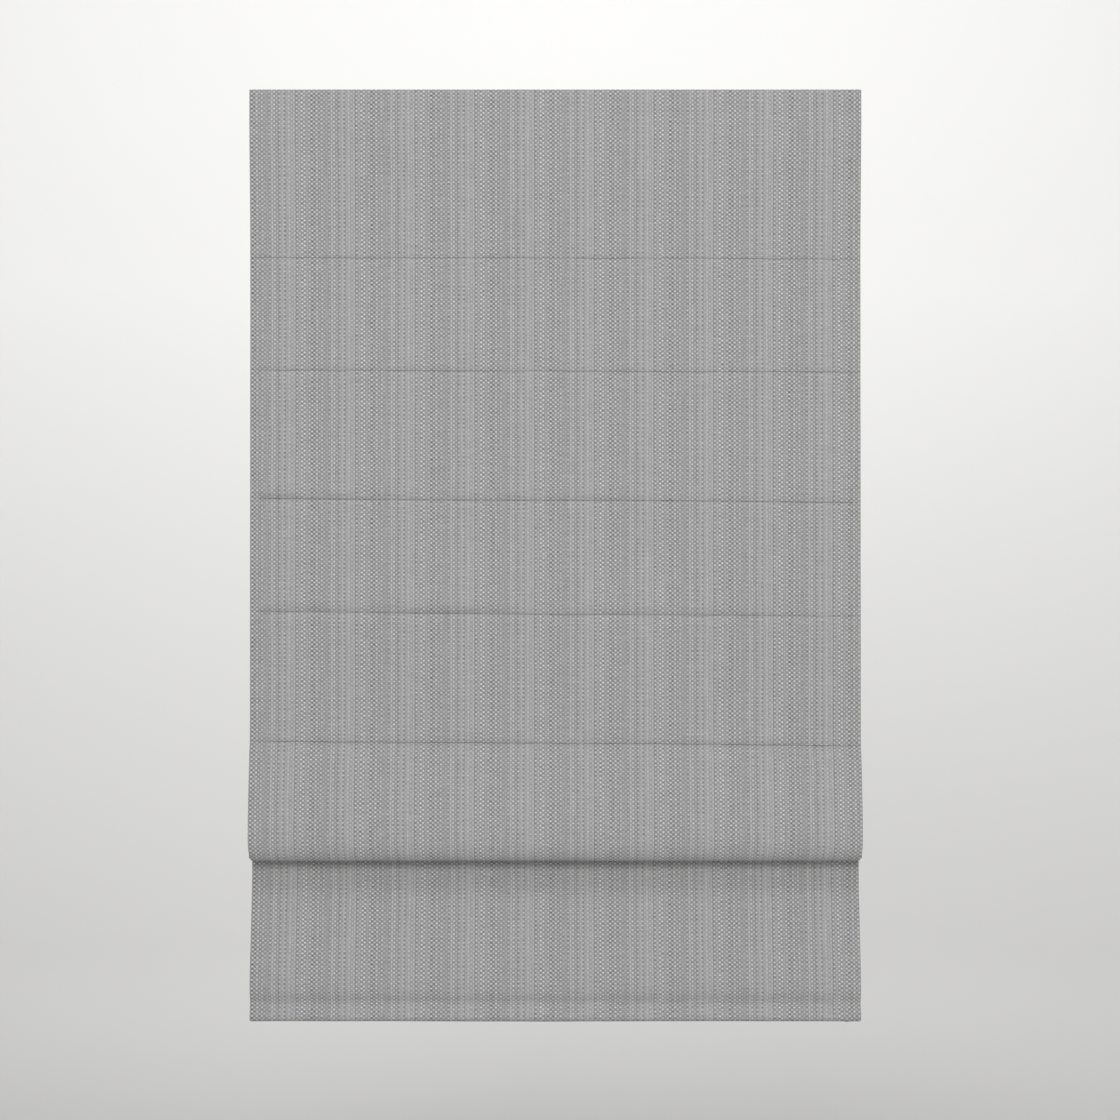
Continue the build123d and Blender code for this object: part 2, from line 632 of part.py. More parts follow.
def spring_ribbon():
    """The constant-force ribbon: a roll on the storage drum, led across to one turn on the output drum."""
    x0 = MOTOR_X - RIBBON_WIDE / 2
    x1 = MOTOR_X + RIBBON_WIDE / 2
    inner = DRUM_RADIUS + RUN_CLEAR
    store_y = SHAFT_Y + DRUM_PITCH
    turn_radius = inner + RIBBON_THICK
    roll = rod_x(ROLL_RADIUS, x0, x1, store_y, SHAFT_Z)
    turn = rod_x(turn_radius, x0, x1, SHAFT_Y, SHAFT_Z)
    store_mid = ROLL_RADIUS - RIBBON_THICK / 2
    turn_mid = turn_radius - RIBBON_THICK / 2
    slope = math.asin((store_mid + turn_mid) / DRUM_PITCH)
    run = DRUM_PITCH * math.cos(slope)
    touch_y = SHAFT_Y + turn_mid * math.sin(slope)
    touch_z = SHAFT_Z - turn_mid * math.cos(slope)
    mid_y = touch_y + run / 2 * math.cos(slope)
    mid_z = touch_z + run / 2 * math.sin(slope)
    lead = Pos(MOTOR_X, mid_y, mid_z) * Rot(math.degrees(slope), 0, 0) * Box(RIBBON_WIDE, run, RIBBON_THICK)
    ribbon = roll + turn + lead
    for y in (SHAFT_Y, store_y):
        ribbon -= rod_x(inner, x0 - CUT, x1 + CUT, y, SHAFT_Z)
    return ribbon.solid()


# ---- the blind
os.makedirs("parts", exist_ok=True)

write("headrail", headrail())
for side, name in ((-1, "left"), (1, "right")):
    write(f"end_cap_{name}", end_cap(side))
    write(f"bracket_{name}", bracket(side))
    write(f"weight_bar_cap_{name}", weight_bar_cap(side))
write("hook_tape", tape(front=False))
write("loop_tape", tape(front=True))

write("lift_shaft", lift_shaft())
for k, x in enumerate(CORD_X):
    write(f"cord_cradle_{k + 1}", cord_cradle(x))
    write(f"cord_spool_{k + 1}", cord_spool(x))
    write(f"lift_cord_{k + 1}", lift_cord(x))
    write(f"cord_adjuster_{k + 1}", cord_adjuster(x))

write("motor_case", motor_case())
write("motor_cover", motor_cover())
write("motor_screws", *[motor_screw(x, y) for x, y in motor_posts()])
write("output_drum", drum(SHAFT_Y, driven=True))
write("storage_drum", drum(SHAFT_Y + DRUM_PITCH, driven=False))
write("spring_ribbon", spring_ribbon())

for k, (y, z) in enumerate(zip(RIB_Y, RIB_Z)):
    write(f"rib_{k + 1}", rib_rod(y, z))
    write(f"cord_guides_{k + 1}", *[cord_guide(x, y, z) for x in CORD_X])
for k, (y, z) in enumerate(zip(FRONT_RIB_Y, FRONT_RIB_Z)):
    write(f"front_rib_{k + 1}", rib_rod(y, z))
write("weight_bar", weight_bar())
cloth_panels()
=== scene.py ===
"""A grey roman blind: its cloth, lining, thread and cords, the finish of every part, soft light and a camera.

Sizes are in metres. X runs across the blind, -Y faces the room and Z is up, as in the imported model.
"""

from __future__ import annotations

import logging
import math
from dataclasses import dataclass
from enum import Enum
from typing import Any

import bpy
import numpy as np
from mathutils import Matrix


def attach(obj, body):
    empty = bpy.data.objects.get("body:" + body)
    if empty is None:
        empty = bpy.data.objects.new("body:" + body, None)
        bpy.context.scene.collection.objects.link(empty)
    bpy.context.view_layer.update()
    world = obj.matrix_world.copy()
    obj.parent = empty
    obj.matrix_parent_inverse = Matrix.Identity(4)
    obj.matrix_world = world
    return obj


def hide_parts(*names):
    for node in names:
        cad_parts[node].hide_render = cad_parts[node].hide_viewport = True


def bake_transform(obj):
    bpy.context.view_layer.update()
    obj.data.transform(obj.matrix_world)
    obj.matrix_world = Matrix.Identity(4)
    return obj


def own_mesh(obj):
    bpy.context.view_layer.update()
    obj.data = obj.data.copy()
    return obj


LOG = logging.getLogger("roman_blind")
Array = np.ndarray
Point = tuple[float, float, float]
Colour = tuple[float, float, float, float]
Route = tuple[tuple[float, float], ...]

CLOTH_HALF = 0.457
SIDE_TURN = 0.025
FACE_THICK = 0.001
LINING_THICK = 0.0004
RIB_BACK = 0.0029
CORD_X = (-0.345, 0.0, 0.345)


class Body(Enum):
    """The bodies of the frame that cloth, thread and cords ride on."""

    RAIL = "headrail_body"
    RIB_1 = "rib_1_body"
    CREASE_1 = "front_rib_1_body"
    RIB_2 = "rib_2_body"
    CREASE_2 = "front_rib_2_body"
    RIB_3 = "rib_3_body"
    CREASE_3 = "front_rib_3_body"
    RIB_4 = "rib_4_body"


# ---------------------------------------------------------------- curves and grids


@dataclass(frozen=True)
class Ripple:
    """Unevenness over a sheet: a sum of sine waves whose lengths fall evenly from longest to shortest."""

    seed: int
    longest: float
    shortest: float
    waves: int = 7
    lengthways: float = 1.0

    def at(self, x: Array, s: Array | float = 0.0) -> Array:
        """Height at a place: each wave is the sine of its own phase plus place times wave number.

        Args:
            x: Place across the sheet.
            s: Place down the sheet.

        Returns:
            Heights with a typical size of one half.
        """
        draw = np.random.default_rng(self.seed)
        length = np.geomspace(self.longest, self.shortest, self.waves)
        turn = draw.uniform(0.0, 2.0 * np.pi, self.waves)
        phase = draw.uniform(0.0, 2.0 * np.pi, self.waves)
        across, down = np.broadcast_arrays(np.asarray(x, float), np.asarray(s, float))
        place = across[..., None] * np.cos(turn) + down[..., None] * np.sin(turn) * self.lengthways
        share = length / length.sum()
        return (np.sin(place * 2.0 * np.pi / length + phase) * share).sum(-1) * math.sqrt(self.waves) * 0.7


@dataclass(frozen=True)
class Path:
    """A smooth line in the blind's side view, through (y, z) points, measured along itself."""

    points: Route

    def sampled(self) -> tuple[Array, Array, Array]:
        """The line as many short chords.

        Between two points it is the cubic whose end slopes run between each point's neighbours, and its
        parameter grows with the straight distance between points.

        Returns:
            Distance along the line, y and z at each sample.
        """
        p = np.array(self.points)
        knot = np.concatenate([[0.0], np.cumsum(np.linalg.norm(np.diff(p, axis=0), axis=1))])
        slope = np.gradient(p, knot, axis=0) if len(p) > 2 else np.repeat(np.diff(p, axis=0), 2, 0) / knot[-1]
        t = np.linspace(0.0, knot[-1], 600)
        k = np.clip(np.searchsorted(knot, t, "right") - 1, 0, len(p) - 2)
        h = knot[k + 1] - knot[k]
        f = ((t - knot[k]) / h)[:, None]
        h = h[:, None]
        line = (
            (2 * f**3 - 3 * f**2 + 1) * p[k]
            + (f**3 - 2 * f**2 + f) * h * slope[k]
            + (3 * f**2 - 2 * f**3) * p[k + 1]
            + (f**3 - f**2) * h * slope[k + 1]
        )
        s = np.concatenate([[0.0], np.cumsum(np.linalg.norm(np.diff(line, axis=0), axis=1))])
        return s, line[:, 0], line[:, 1]

    def length(self) -> float:
        """Length along the line."""
        return float(self.sampled()[0][-1])

    def at(self, s: Array) -> tuple[Array, Array, Array, Array]:
        """Place and backward normal at distances along the line.

        Args:
            s: Distances from the line's start.

        Returns:
            y, z, and the y and z of the unit normal, which points to the window on a line that goes down.
        """
        run, y, z = self.sampled()
        dy, dz = np.gradient(y, run), np.gradient(z, run)
        size = np.hypot(dy, dz)
        return (
            np.interp(s, run, y),
            np.interp(s, run, z),
            np.interp(s, run, -dz / size),
            np.interp(s, run, dy / size),
        )


def grid_faces(rows: int, columns: int, keep: Array | None = None) -> Array:
    """Quads of a grid of points, wound so that a grid that goes down and to the right faces the room.

    Args:
        rows: Rows of points.
        columns: Points in a row.
        keep: Which cells have a face, or None for all.

    Returns:
        Four point numbers for each face.
    """
    first = (np.arange(rows - 1)[:, None] * columns + np.arange(columns - 1)[None, :]).astype(np.int32)
    quads = np.stack([first, first + columns, first + columns + 1, first + 1], -1)
    return quads.reshape(-1, 4) if keep is None else quads[keep]


def grid_object(
    name: str, points: Array, uv: Array | None = None, keep: Array | None = None
) -> bpy.types.Object:
    """An object from a grid of points, smooth shaded, with a UV map in metres of cloth.

    Args:
        name: The piece's name.
        points: Rows by columns by three coordinates.
        uv: Rows by columns by two, or None for no map.
        keep: Which cells have a face, or None for all.

    Returns:
        The linked object.
    """
    rows, columns = points.shape[:2]
    faces = grid_faces(rows, columns, keep)
    return mesh_object(name, points.reshape(-1, 3), faces, None if uv is None else uv.reshape(-1, 2))


def mesh_object(name: str, points: Array, faces: Array, uv: Array | None = None) -> bpy.types.Object:
    """An object from points and quads, without the points that no face uses.

    Args:
        name: The piece's name.
        points: Three coordinates for each point.
        faces: Four point numbers for each face.
        uv: Two map coordinates for each point, or None.

    Returns:
        The linked object.
    """
    used, compact = np.unique(faces, return_inverse=True)
    faces = compact.reshape(faces.shape).astype(np.int32)
    points = points[used]
    mesh = bpy.data.meshes.new(name)
    mesh.vertices.add(len(points))
    mesh.vertices.foreach_set("co", points.astype(np.float32).ravel())
    mesh.loops.add(faces.size)
    mesh.loops.foreach_set("vertex_index", faces.ravel())
    mesh.polygons.add(len(faces))
    mesh.polygons.foreach_set("loop_start", np.arange(len(faces), dtype=np.int32) * 4)
    mesh.polygons.foreach_set("use_smooth", np.ones(len(faces), bool))
    mesh.update(calc_edges=True)
    if uv is not None:
        layer = mesh.uv_layers.new(name="cloth")
        layer.data.foreach_set("uv", uv[used][faces.ravel()].astype(np.float32).ravel())
    mesh.validate()
    made = bpy.data.objects.new(name, mesh)
    bpy.context.scene.collection.objects.link(made)
    return made


def thicken(piece: bpy.types.Object, thickness: float) -> None:
    """Gives a single layer its thickness, half to each side, with a closed rim."""
    solid = piece.modifiers.new("cloth_thickness", "SOLIDIFY")
    solid.thickness = thickness
    solid.offset = 0.0
    solid.use_rim = True


def spaced_rows(length: float, coarse: float, fine: float, near: float) -> Array:
    """Distances from 0 to length, fine near both ends and coarse between.

    Args:
        length: The last distance.
        coarse: Step away from the ends.
        fine: Step at the ends.
        near: How far from an end the fine step is used.

    Returns:
        Rising distances.
    """
    near = min(near, length / 2.2)
    ends = np.arange(0.0, near, fine)
    middle = np.linspace(near, length - near, max(2, int((length - 2 * near) / coarse) + 1))
    return np.concatenate([ends, middle, length - ends[::-1]])


# ---------------------------------------------------------------- shader kit


class Shading:
    """A node tree with short ways to add nodes and links."""

    def __init__(self, tree: bpy.types.NodeTree) -> None:
        """Works on this tree."""
        self.tree = tree

    def node(self, kind: str, inputs: dict[str, Any] | None = None, **settings: Any) -> bpy.types.Node:
        """Adds a node.

        Args:
            kind: Node type.
            inputs: Socket name to a value or to a socket that feeds it.
            settings: Properties of the node.

        Returns:
            The node.
        """
        made = self.tree.nodes.new(kind)
        for name, value in settings.items():
            setattr(made, name, value)
        for name, value in (inputs or {}).items():
            self.feed(made.inputs[name], value)
        return made

    def feed(self, target: bpy.types.NodeSocket, value: Any) -> None:
        """Sets a socket to a value, or links it to the socket that feeds it."""
        if isinstance(value, bpy.types.NodeSocket):
            self.tree.links.new(value, target)
        else:
            target.default_value = value

    def math(self, operation: str, *values: Any, clamp: bool = False) -> bpy.types.NodeSocket:
        """One step of arithmetic.

        Args:
            operation: Blender's name of it.
            values: Numbers or sockets.
            clamp: Whether the result stays from 0 to 1.

        Returns:
            The result's socket.
        """
        made = self.node("ShaderNodeMath", operation=operation, use_clamp=clamp)
        for place, value in enumerate(values):
            self.feed(made.inputs[place], value)
        return made.outputs[0]

    def noise(
        self, vector: Any, scale: float, detail: float = 2.0, rough: float = 0.5
    ) -> bpy.types.NodeSocket:
        """Cloudy noise from 0 to 1.

        Args:
            vector: Coordinates.
            scale: Features in a metre.
            detail: Octaves.
            rough: Strength of the finer octaves.

        Returns:
            The noise's socket.
        """
        made = self.node(
            "ShaderNodeTexNoise", {"Vector": vector, "Scale": scale, "Detail": detail, "Roughness": rough}
        )
        return made.outputs["Fac"]

    def stretched(self, vector: Any, scale: Point) -> bpy.types.NodeSocket:
        """Coordinates times a factor for each axis."""
        return self.node("ShaderNodeMapping", {"Vector": vector, "Scale": scale}).outputs["Vector"]

    def blend(self, share: Any, first: Any, second: Any) -> bpy.types.NodeSocket:
        """A colour between two.

        Args:
            share: 0 for the first, 1 for the second.
            first: Colour or socket.
            second: Colour or socket.

        Returns:
            The mixed colour's socket.
        """
        made = self.node("ShaderNodeMix", data_type="RGBA")
        self.feed(made.inputs["Factor"], share)
        self.feed(made.inputs[6], first)
        self.feed(made.inputs[7], second)
        return made.outputs[2]

    def scaled(self, value: Any, low: float, high: float) -> bpy.types.NodeSocket:
        """A value from 0 to 1 brought to the range from low to high."""
        return self.math("MULTIPLY_ADD", value, high - low, low)


FLOAT = "NodeSocketFloat"
COLOUR = "NodeSocketColor"
VECTOR = "NodeSocketVector"
FULL_TURN = 2.0 * math.pi


def new_group(
    name: str, inputs: dict[str, float | Colour | None], outputs: tuple[str, ...]
) -> tuple[Shading, bpy.types.Node, bpy.types.Node]:
    """A shader node group with named sockets.

    Args:
        name: The group's name.
        inputs: Name and first value of each input: a number, a colour, or None for a place.
        outputs: Names of the outputs: Colour is a colour and the rest are numbers.

    Returns:
        The group's tree, its input node and its output node.
    """
    tree = bpy.data.node_groups.new(name, "ShaderNodeTree")
    for socket, value in inputs.items():
        kind = VECTOR if value is None else COLOUR if isinstance(value, tuple) else FLOAT
        made = tree.interface.new_socket(socket, in_out="INPUT", socket_type=kind)
        if value is not None:
            made.default_value = value
    for socket in outputs:
        kind = COLOUR if socket == "Colour" else FLOAT
        tree.interface.new_socket(socket, in_out="OUTPUT", socket_type=kind)
    kit = Shading(tree)
    return kit, kit.node("NodeGroupInput"), kit.node("NodeGroupOutput")


@dataclass(frozen=True)
class Stripe:
    """A fine upright line of the weave: its place in the repeat, and its tone from -1 to 1, dark to light."""

    place: float
    tone: float


@dataclass(frozen=True)
class RibbedWeave:
    """The face cloth's weave: staggered dots of yarn, crossed by fine upright lines that repeat."""

    dot_down: float = 0.0064
    repeat: float = 0.0894
    columns: int = 24
    first_line: float = -0.3887
    line_wide: float = 0.0015
    drift: float = 0.0012
    drift_across: float = 0.2
    speck_power: float = 1.6
    speck_mean: float = 0.16
    edge_narrow: float = 2.6
    fine_rib: float = 0.00125
    dense: tuple[float, float] = (0.58, 0.99)
    dense_dots: float = 0.7
    stripes: tuple[Stripe, ...] = (
        Stripe(0.0285, -0.45),
        Stripe(0.0539, 0.6),
        Stripe(0.0644, -0.7),
        Stripe(0.0704, 0.55),
        Stripe(0.0734, -0.65),
        Stripe(0.0794, 0.6),
        Stripe(0.0869, 0.55),
    )

    def tone_ramp(self, kit: Shading, place: bpy.types.NodeSocket) -> bpy.types.Node:
        """A ramp over one repeat: colour is the lines' tone, and alpha is how strong the dots are.

        Args:
            kit: The group's tree.
            place: Place in the repeat, from 0 to 1.

        Returns:
            The ramp's node.
        """
        made = kit.node("ShaderNodeValToRGB", {"Fac": place})
        ramp = made.color_ramp
        wide = self.line_wide / self.repeat
        ramp.elements[0].position = 0.0
        ramp.elements[0].color = (0.1, 0.1, 0.1, 1.0)
        ramp.elements[1].position = 1.0
        ramp.elements[1].color = (0.1, 0.1, 0.1, 1.0)
        stops = [(wide, 0.0), (1.0 - wide * 0.6, 0.0)]
        for line in self.stripes:
            middle = line.place / self.repeat
            stops += [(middle - wide, 0.0), (middle, line.tone), (middle + wide, 0.0)]
        for position, tone in sorted(stops):
            stop = ramp.elements.new(position)
            level = 0.5 + 0.5 * tone
            dots = self.dense_dots if self.dense[0] < position < self.dense[1] else 1.0
            stop.color = (level, level, level, dots)
        return made

    def group(self) -> bpy.types.NodeTree:
        """The weave as a node group that reads cloth coordinates in metres.

        Dots are a sine over each pair of columns times a cosine down, so that each row is shifted a column,
        and what is above zero is sharpened by a power. White noise draws each column's contrast, tone and
        edge.

        Returns:
            The node tree.
        """
        kit, source, result = new_group(
            "ribbed_weave",
            {
                "Place": None,
                "Yarn": (0.4, 0.4, 0.4, 1.0),
                "Dot Contrast": 0.25,
                "Line Contrast": 0.2,
                "Slub": 0.1,
            },
            ("Colour", "Height", "Roughness"),
        )
        cloth = source.outputs["Place"]
        drift = kit.noise(kit.stretched(cloth, (9.0, 14.0, 1.0)), 1.0, 1.0)
        drift = kit.scaled(drift, -self.drift, self.drift)
        parts = kit.node("ShaderNodeSeparateXYZ", {"Vector": cloth})
        across = kit.math("ADD", parts.outputs["X"], kit.math("MULTIPLY", drift, self.drift_across))
        down = kit.math("ADD", parts.outputs["Y"], drift)
        repeats = kit.math("MULTIPLY_ADD", across, 1.0 / self.repeat, -self.first_line / self.repeat)
        place = kit.math("FRACT", repeats)
        column = kit.math("MULTIPLY", place, float(self.columns))
        wave = kit.math("SINE", kit.math("MULTIPLY", column, math.pi))
        lot = kit.node("ShaderNodeTexWhiteNoise", {"W": kit.math("FLOOR", column)}, noise_dimensions="1D")
        draws = kit.node("ShaderNodeSeparateXYZ", {"Vector": lot.outputs["Color"]})
        rows = kit.math("COSINE", kit.math("MULTIPLY", down, FULL_TURN / self.dot_down))
        dots = kit.math("MULTIPLY", wave, rows)
        specks = kit.math("POWER", kit.math("MAXIMUM", dots, 0.0), self.speck_power)
        dots = kit.math("MULTIPLY_ADD", dots, 0.35, kit.math("SUBTRACT", specks, self.speck_mean))
        ramp = self.tone_ramp(kit, place)
        lines = kit.scaled(ramp.outputs["Color"], -1.0, 1.0)
        edge = kit.math("MULTIPLY", kit.math("ABSOLUTE", wave), self.edge_narrow)
        edge = kit.math("SUBTRACT", 1.0, edge, clamp=True)
        bold = kit.math("MULTIPLY_ADD", draws.outputs["Y"], 1.6, -0.55, clamp=True)
        lines = kit.math("SUBTRACT", lines, kit.math("MULTIPLY", edge, bold))
        lines = kit.math("ADD", lines, kit.scaled(draws.outputs["Z"], -0.22, 0.3))
        patchy = kit.scaled(kit.noise(kit.stretched(cloth, (230.0, 170.0, 1.0)), 1.0, 3.0, 0.7), -0.9, 3.1)
        patchy = kit.math("MULTIPLY", patchy, kit.scaled(draws.outputs["X"], 0.45, 1.55))
        dots = kit.math("MULTIPLY", kit.math("MULTIPLY", dots, ramp.outputs["Alpha"]), patchy)
        warp = kit.noise(kit.stretched(cloth, (520.0, 22.0, 1.0)), 1.0, 3.0, 0.6)
        weft = kit.noise(kit.stretched(cloth, (26.0, 480.0, 1.0)), 1.0, 3.0, 0.6)
        slub = kit.math("SUBTRACT", kit.math("ADD", warp, weft), 1.0)
        cloud = kit.scaled(kit.noise(cloth, 5.0, 3.0), -0.03, 0.03)
        shade = kit.math("MULTIPLY_ADD", dots, source.outputs["Dot Contrast"], cloud)
        shade = kit.math("MULTIPLY_ADD", lines, source.outputs["Line Contrast"], shade)
        shade = kit.math("MULTIPLY_ADD", slub, source.outputs["Slub"], shade)
        level = kit.math("ADD", shade, 1.0)
        tint = kit.node("ShaderNodeVectorMath", operation="SCALE")
        kit.feed(tint.inputs["Vector"], source.outputs["Yarn"])
        kit.feed(tint.inputs["Scale"], level)
        kit.feed(result.inputs["Colour"], tint.outputs["Vector"])
        fine = kit.math("SINE", kit.math("MULTIPLY", across, FULL_TURN / self.fine_rib))
        height = kit.math("MULTIPLY_ADD", dots, 0.6, kit.math("MULTIPLY", lines, 0.3))
        threads = kit.math("MULTIPLY_ADD", fine, 0.08, kit.math("MULTIPLY", slub, 0.6))
        height = kit.math("ADD", height, threads)
        kit.feed(result.inputs["Height"], height)
        kit.feed(result.inputs["Roughness"], kit.scaled(slub, 0.86, 0.96))
        return kit.tree


def plain_weave_group() -> bpy.types.NodeTree:
    """Close plain weave for lining, tape and braid: thin threads both ways, with thick and thin places.

    Returns:
        The node tree.
    """
    kit, source, result = new_group(
        "plain_weave",
        {
            "Place": None,
            "Thread": (0.8, 0.78, 0.72, 1.0),
            "Threads Across": 1600.0,
            "Threads Down": 1400.0,
            "Contrast": 0.06,
        },
        ("Colour", "Height"),
    )
    parts = kit.node("ShaderNodeSeparateXYZ", {"Vector": source.outputs["Place"]})
    waves = []
    for axis, count in (("X", "Threads Across"), ("Y", "Threads Down")):
        threads = kit.math("MULTIPLY", parts.outputs[axis], source.outputs[count])
        waves.append(kit.math("SINE", kit.math("MULTIPLY", threads, FULL_TURN)))
    weave = kit.math("MULTIPLY", *waves)
    uneven = kit.noise(kit.stretched(source.outputs["Place"], (30.0, 420.0, 30.0)), 1.0, 3.0)
    cloud = kit.noise(source.outputs["Place"], 7.0, 3.0)
    shade = kit.math("ADD", kit.math("MULTIPLY", weave, 0.4), kit.scaled(uneven, -0.8, 0.8))
    shade = kit.math("ADD", shade, kit.scaled(cloud, -0.7, 0.7))
    shade = kit.math("MULTIPLY", shade, source.outputs["Contrast"])
    tint = kit.node("ShaderNodeVectorMath", operation="SCALE")
    kit.feed(tint.inputs["Vector"], source.outputs["Thread"])
    kit.feed(tint.inputs["Scale"], kit.math("ADD", shade, 1.0))
    kit.feed(result.inputs["Colour"], tint.outputs["Vector"])
    kit.feed(result.inputs["Height"], kit.math("MULTIPLY_ADD", uneven, 0.8, kit.math("MULTIPLY", weave, 0.4)))
    return kit.tree


def handled_surface_group() -> bpy.types.NodeTree:
    """Use on hard parts: faint dust, fine scuffs and a moulded or coated skin, in the part's own coordinates.

    Returns:
        The node tree.
    """
    kit, source, result = new_group(
        "handled_surface",
        {
            "Place": None,
            "Clean": (0.8, 0.8, 0.8, 1.0),
            "Worn": (0.6, 0.6, 0.6, 1.0),
            "Wear": 0.2,
            "Grain": 1200.0,
            "Smoothest": 0.3,
            "Roughest": 0.5,
        },
        ("Colour", "Roughness", "Height"),
    )
    place = source.outputs["Place"]
    cloud = kit.noise(place, 28.0, 4.0, 0.6)
    scuff = kit.noise(kit.stretched(place, (35.0, 900.0, 900.0)), 1.0, 3.0, 0.6)
    grain = kit.node("ShaderNodeTexNoise", {"Vector": place, "Detail": 2.0, "Scale": source.outputs["Grain"]})
    touched = kit.math("ADD", cloud, kit.math("MULTIPLY", scuff, 0.6))
    mask = kit.math("MULTIPLY", touched, source.outputs["Wear"], clamp=True)
    kit.feed(result.inputs["Colour"], kit.blend(mask, source.outputs["Clean"], source.outputs["Worn"]))
    spread = kit.math("SUBTRACT", source.outputs["Roughest"], source.outputs["Smoothest"])
    share = kit.math("MULTIPLY_ADD", cloud, 0.6, kit.math("MULTIPLY", scuff, 0.4))
    roughness = kit.math("MULTIPLY_ADD", spread, share, source.outputs["Smoothest"])
    kit.feed(result.inputs["Roughness"], roughness)
    kit.feed(result.inputs["Height"], kit.math("MULTIPLY_ADD", scuff, 0.3, grain.outputs["Fac"]))
    return kit.tree


class Coordinates(Enum):
    """Where a finish reads its pattern's place from."""

    OBJECT = "Object"
    CLOTH = "UV"


@dataclass(frozen=True)
class Finish:
    """What every finish has: a name, a bump, a place to read its pattern from, and its even values."""

    name: str
    bump_distance: float = 0.0002
    bump_strength: float = 0.4
    coordinates: Coordinates = Coordinates.OBJECT
    specular: float = 0.5
    metallic: float = 0.0
    sheen: float = 0.0
    sheen_roughness: float = 0.5
    transmission: float = 0.0
    roughness: float = 0.5

    def pattern(self) -> dict[str, Any]:
        """Values for the named inputs of the pattern's group."""
        return {}

    def make(self, tree: bpy.types.NodeTree) -> bpy.types.Material:
        """Builds the material: even values on the shader's own sockets, and the pattern from a node group.

        Args:
            tree: The pattern's group, which puts out colour, height and perhaps roughness.

        Returns:
            The material.
        """
        material = bpy.data.materials.new(self.name)
        material.use_nodes = True
        kit = Shading(material.node_tree)
        shader = material.node_tree.nodes["Principled BSDF"]
        even = {
            "Specular IOR Level": self.specular,
            "Metallic": self.metallic,
            "Sheen Weight": self.sheen,
            "Sheen Roughness": self.sheen_roughness,
            "Transmission Weight": self.transmission,
            "Roughness": self.roughness,
        }
        for socket, value in even.items():
            shader.inputs[socket].default_value = value
        place = kit.node("ShaderNodeTexCoord").outputs[self.coordinates.value]
        group = kit.node("ShaderNodeGroup", node_tree=tree)
        for socket, value in {"Place": place, **self.pattern()}.items():
            kit.feed(group.inputs[socket], value)
        kit.feed(shader.inputs["Base Color"], group.outputs["Colour"])
        if "Roughness" in group.outputs:
            kit.feed(shader.inputs["Roughness"], group.outputs["Roughness"])
        height = group.outputs["Height"]
        sizes = {"Height": height, "Distance": self.bump_distance, "Strength": self.bump_strength}
        bump = kit.node("ShaderNodeBump", sizes)
        kit.feed(shader.inputs["Normal"], bump.outputs["Normal"])
        return material


@dataclass(frozen=True)
class FaceClothFinish(Finish):
    """The grey ribbed cloth."""

    yarn: tuple[float, float, float] = (0.36, 0.36, 0.362)
    dot_contrast: float = 0.6
    line_contrast: float = 0.3
    slub: float = 0.4

    def pattern(self) -> dict[str, Any]:
        """Values for the inputs of the ribbed weave."""
        return {
            "Yarn": (*self.yarn, 1.0),
            "Dot Contrast": self.dot_contrast,
            "Line Contrast": self.line_contrast,
            "Slub": self.slub,
        }


@dataclass(frozen=True)
class PlainClothFinish(Finish):
    """Lining, tape, cord or thread."""

    roughness: float = 0.8
    thread: tuple[float, float, float] = (0.8, 0.78, 0.72)
    across: float = 1600.0
    down: float = 1400.0
    contrast: float = 0.08

    def pattern(self) -> dict[str, Any]:
        """Values for the inputs of the plain weave."""
        return {
            "Thread": (*self.thread, 1.0),
            "Threads Across": self.across,
            "Threads Down": self.down,
            "Contrast": self.contrast,
        }


@dataclass(frozen=True)
class HardFinish(Finish):
    """Moulded, coated, drawn or plated parts."""

    clean: tuple[float, float, float] = (0.8, 0.8, 0.8)
    worn: tuple[float, float, float] = (0.6, 0.6, 0.6)
    wear: float = 0.15
    grain: float = 1200.0
    smoothest: float = 0.3
    roughest: float = 0.5

    def pattern(self) -> dict[str, Any]:
        """Values for the inputs of the handled surface."""
        return {
            "Clean": (*self.clean, 1.0),
            "Worn": (*self.worn, 1.0),
            "Wear": self.wear,
            "Grain": self.grain,
            "Smoothest": self.smoothest,
            "Roughest": self.roughest,
        }


